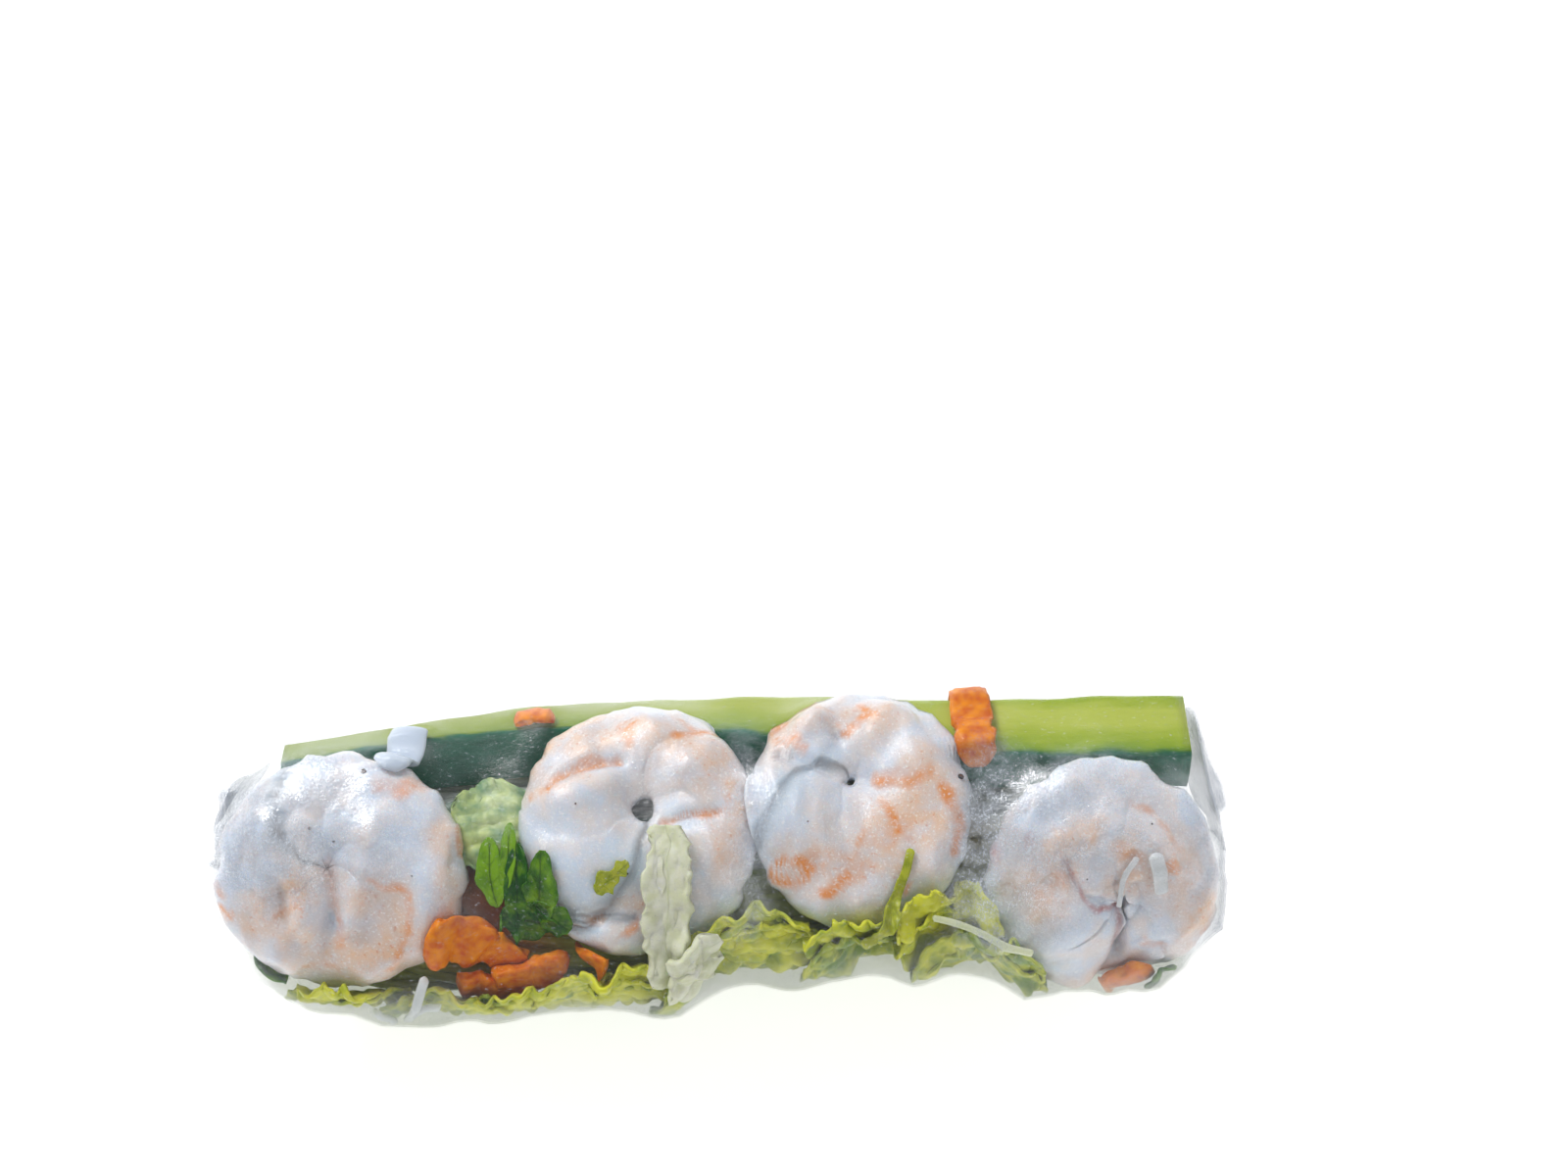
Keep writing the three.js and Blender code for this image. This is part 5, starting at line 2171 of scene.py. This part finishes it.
SCRAP = Coriander("coriander_leaf_2", (
    Blade(((-14.8, 37.5), (-13.6, 34), (-11.8, 31.4)), 2.6, 0.6, 0.2, 2, 0.15, 0.2, seed=76),
    Blade(((-12.8, 32), (-11.6, 29.6), (-10.6, 27.6)), 1.7, 0.8, 0.2, 2, 0.15, 0.2, seed=77),
))
STRANDS = (
    Noodle("noodle_strand_1", ((-40.6, -11), (-39.6, -26), (-38.4, -44)), 4.8, 1.5, 15,
           tint=("blue", 1.0), bridge=60),
    Noodle("noodle_strand_2", ((-37.3, 71), (-38.9, 84), (-40.6, 98)), 1.3, 1.0, 20.6, bridge=400, twigs=(
        (((-39.6, 88), (-37.8, 87), (-35.8, 88)), 1.2),
        (((-44.4, 88), (-43.2, 94), (-42.4, 101)), 1.2),
    )),
    Noodle("noodle_strand_3", ((27.5, 51), (33.7, 55), (40, 60)), 0.8, 0.6, 17,
           bridge=1500, tint=("green", 0.4)),
    Noodle("noodle_strand_4", ((54.8, 31), (55.6, 40), (56, 48)), 1.5, 0.6, 17, bridge=300),
    Noodle("noodle_strand_5", ((53.4, 33), (52.0, 42), (51.4, 54)), 0.7, 0.5, 17, bridge=300),
)
FOLDS = (
    Fold(((-66, -28), (-70, -40), (-74, -60)), 1.6, 1.8, 1.0),
    Fold(((-69, 24), (-73, 34), (-77, 60)), 1.6, 1.6, 0.8),
    Fold(((64, -40), (68, -20), (70, 10)), 1.3, 0.9, 0.8),
    Fold(((62, 70), (68, 62), (74, 50)), 1.4, 0.9, 0.7),
)
FLAPS = (
    Flap(((62, -50), (64, -20), (66, 20), (70, 50)), ((74, -60), (76, -20), (77, 20), (78, 50))),
    Flap(((-60, -70), (-62, -40), (-64, -10), (-70, 20)), ((-74, -80), (-75, -40), (-76, -10), (-77, 20))),
)
# Frosted spots of the film: a milky white with painted sparkle highlights.
PAINTED_SPARKLE_FROSTS = (
    Spot(-56, 12, 9, 9, 1.0),
    Spot(-49, 2, 6, 7, 0.8),
    Spot(-43, 14, 7, 7, 0.5),
    Spot(36.4, 17, 4, 9, 0.8),
    Spot(34, 34, 4, 9, 0.8),
    Spot(5, 16, 3, 12, 0.35),
    Spot(44, 18, 12, 7, 0.8),
    Spot(42, 34, 5, 10, 0.5),
    Spot(4, 40, 3, 5, 0.4),
    Spot(60, 30, 5, 9, 0.4),
)
PUFFS = (
    Spot(-38, 98, 7, 6, 23.6),
    Spot(-29, 98, 7, 6, 23.4),
    Spot(-18, 96, 6, 6, 22.4),
    Spot(-50, 96, 5, 6, 21.6),
    Spot(-57, 84, 5, 5, 19.6),
    Spot(-62, 60, 5, 8, 18.6),
    Spot(-61, -10, 5, 8, 16.8),
    Spot(-52, -66, 6, 6, 16.6),
    Spot(-4, 100, 7, 5, 20.2),
    Spot(10, 104, 6, 5, 20.6),
    Spot(40, 104, 7, 5, 19.8),
    Spot(57, 100, 6, 6, 19.2),
    Spot(66, 10, 6, 14, 17.0),
    Spot(66, 50, 6, 9, 17.4),
)
STAINS_AND_PAINTED_SHADE = {
    "green": (
        Spot(-28, 26, 6.0, 7.0, 0.7),
        Spot(5, 50, 7.0, 14.0, 1.0),
        Spot(20, 64, 16.0, 12.0, 1.0),
        Spot(-45, 96, 14.0, 14.0, 1.0),
        Spot(-15, 98, 26.0, 16.0, 1.0),
        Spot(14, 96, 28.0, 18.0, 1.0),
        Spot(34, 74, 12.0, 18.0, 1.0),
        Spot(48, 104, 16.0, 12.0, 0.8),
    ),
    "teal": (
        Spot(-28, -10, 7.0, 10.0, 0.9),
        Spot(-9, 10, 4.0, 4.0, 0.8),
        Spot(5, -6, 4.0, 18.0, 1.0),
    ),
    # painted shade: brown in the crevices between the shrimps, the herb and the carrot
    "brown": (
        Spot(-32, 40, 3.6, 10.0, 0.9),
        Spot(-18, 62, 6.0, 4.0, 1.0),
        Spot(34, 30, 5.0, 8.0, 0.55),
    ),
    "amber": (
        Spot(-31, 72, 10.0, 9.0, 1.0),
    ),
}


# ---------------------------------------------------------------- stage
@dataclass
class Studio:
    """A plain pale floor, soft light and a camera that looks down on the roll from the front.

    Attributes:
        scale: Points of the frame to a millimetre at the target.
        elevation: Degrees that the camera looks down.
        azimuth: Degrees that it stands to the right of the front.
        middle: Where the target lies in the frame.
        glow: How much the floor shines by itself.
        room: Strength of the white around everything.
    """

    lens: float = 70.0
    sensor: float = 36.0
    frame: tuple[int, int] = (1600, 1200)
    scale: float = 7.7
    elevation: float = 70.0
    azimuth: float = -2.4
    middle: tuple[float, float] = (728.0, 861.0)
    target: tuple[float, float, float] = (-0.467, 1.854, 17.0)
    glow: float = 0.58
    room: float = 0.42

    def camera(self) -> None:
        """Makes the camera, so that the roll's middle lies at its place in the frame."""
        data = bpy.data.cameras.new("camera")
        data.lens, data.sensor_width, data.clip_start = self.lens, self.sensor, 0.01
        camera = bpy.data.objects.new("camera", data)
        bpy.context.scene.collection.objects.link(camera)
        distance = self.lens / self.sensor * self.frame[0] / self.scale
        right = (self.middle[0] - self.frame[0] / 2) / self.scale
        down = (self.middle[1] - self.frame[1] / 2) / self.scale
        pitch = math.radians(self.elevation) - math.atan(down / distance)
        yaw = math.radians(self.azimuth)
        back = Vector((math.sin(yaw) * math.cos(pitch), -math.cos(yaw) * math.cos(pitch), math.sin(pitch)))
        side = Vector((math.cos(yaw), math.sin(yaw), 0))
        place = Vector(self.target) + back * distance - side * right + back.cross(side) * down
        camera.location = place * MM
        camera.rotation_euler = (math.pi / 2 - pitch, 0, yaw)
        bpy.context.scene.camera = camera

    def light(self, name: str, place: Sequence[float], size: Stop, power: float) -> None:
        """Makes a soft box that faces the roll.

        Args:
            name: Its name.
            place: Where it stands, in metres.
            size: Its width and height, in metres.
            power: In watts.
        """
        data = bpy.data.lights.new(name, "AREA")
        data.shape, data.size, data.size_y, data.energy = "RECTANGLE", *size, power
        light = bpy.data.objects.new(name, data)
        light.location = place
        light.rotation_euler = (Vector((0, 0, 0.02)) - Vector(place)).to_track_quat("-Z", "Y").to_euler()
        bpy.context.scene.collection.objects.link(light)

    def build(self) -> None:
        """Makes the floor, the lights and the surrounding white."""
        bpy.ops.object.select_all(action="DESELECT")
        bpy.ops.mesh.primitive_plane_add(size=6, location=(0, 0, 0))
        floor = named("floor")
        shader = Shader("pale_floor", roughness=0.8)
        shader.set("Base Color", shader.mix(shader.noise(size=60.0), (247, 247, 248), (250, 250, 250)))
        shader.set("Emission Color", (1.0, 1.0, 1.0, 1.0))
        shader.set("Emission Strength", self.glow)
        floor.data.materials.append(shader.material)
        self.light("key_light", place=(-0.32, 0.42, 0.62), size=(0.42, 0.3), power=5.0)
        self.light("fill_light", place=(0.45, -0.5, 0.7), size=(0.7, 0.5), power=1.4)
        world = bpy.data.worlds.new("white_room")
        world.use_nodes = True
        background = world.node_tree.nodes["Background"]
        background.inputs["Color"].default_value = (1, 1, 1, 1)
        background.inputs["Strength"].default_value = self.room
        bpy.context.scene.world = world
        bpy.context.scene.view_settings.view_transform = "Standard"


def main() -> None:
    """Builds the roll from the inside out, then the stage."""
    logging.basicConfig(level=logging.INFO, format="%(name)s %(message)s")
    studio = Studio()
    studio.camera()
    layers = Layers(Wrap())
    noodle = NoodleStarch().material()
    kinds = (
        ((Cucumber(),), CucumberFlesh().material()),
        ((BED,), BED_TISSUE.material()),
        (SHRIMPS, ShrimpFlesh().material()),
        (CARROTS, CarrotFlesh().material()),
        (LETTUCES, LETTUCE_TISSUE.material()),
        (RIBS, RIB_TISSUE.material()),
        (HERBS, HERB_TISSUE.material()),
        ((SCRAP, SLIVER), YOUNG_TISSUE.material()),
        (STRANDS, noodle),
        ((NoodleBundle(stains_and_painted_shade=STAINS_AND_PAINTED_SHADE),), noodle),
        ((PepperSpecks(),), Pepper().material()),
        ((RicePaper(folds=FOLDS, flaps=FLAPS, frosts=PAINTED_SPARKLE_FROSTS, puffs=PUFFS),), WetPaper().material()),
    )
    for pieces, material in kinds:
        for piece in pieces:
            piece.lay(layers, material)
    studio.build()


if __name__ == "__main__":
    main()
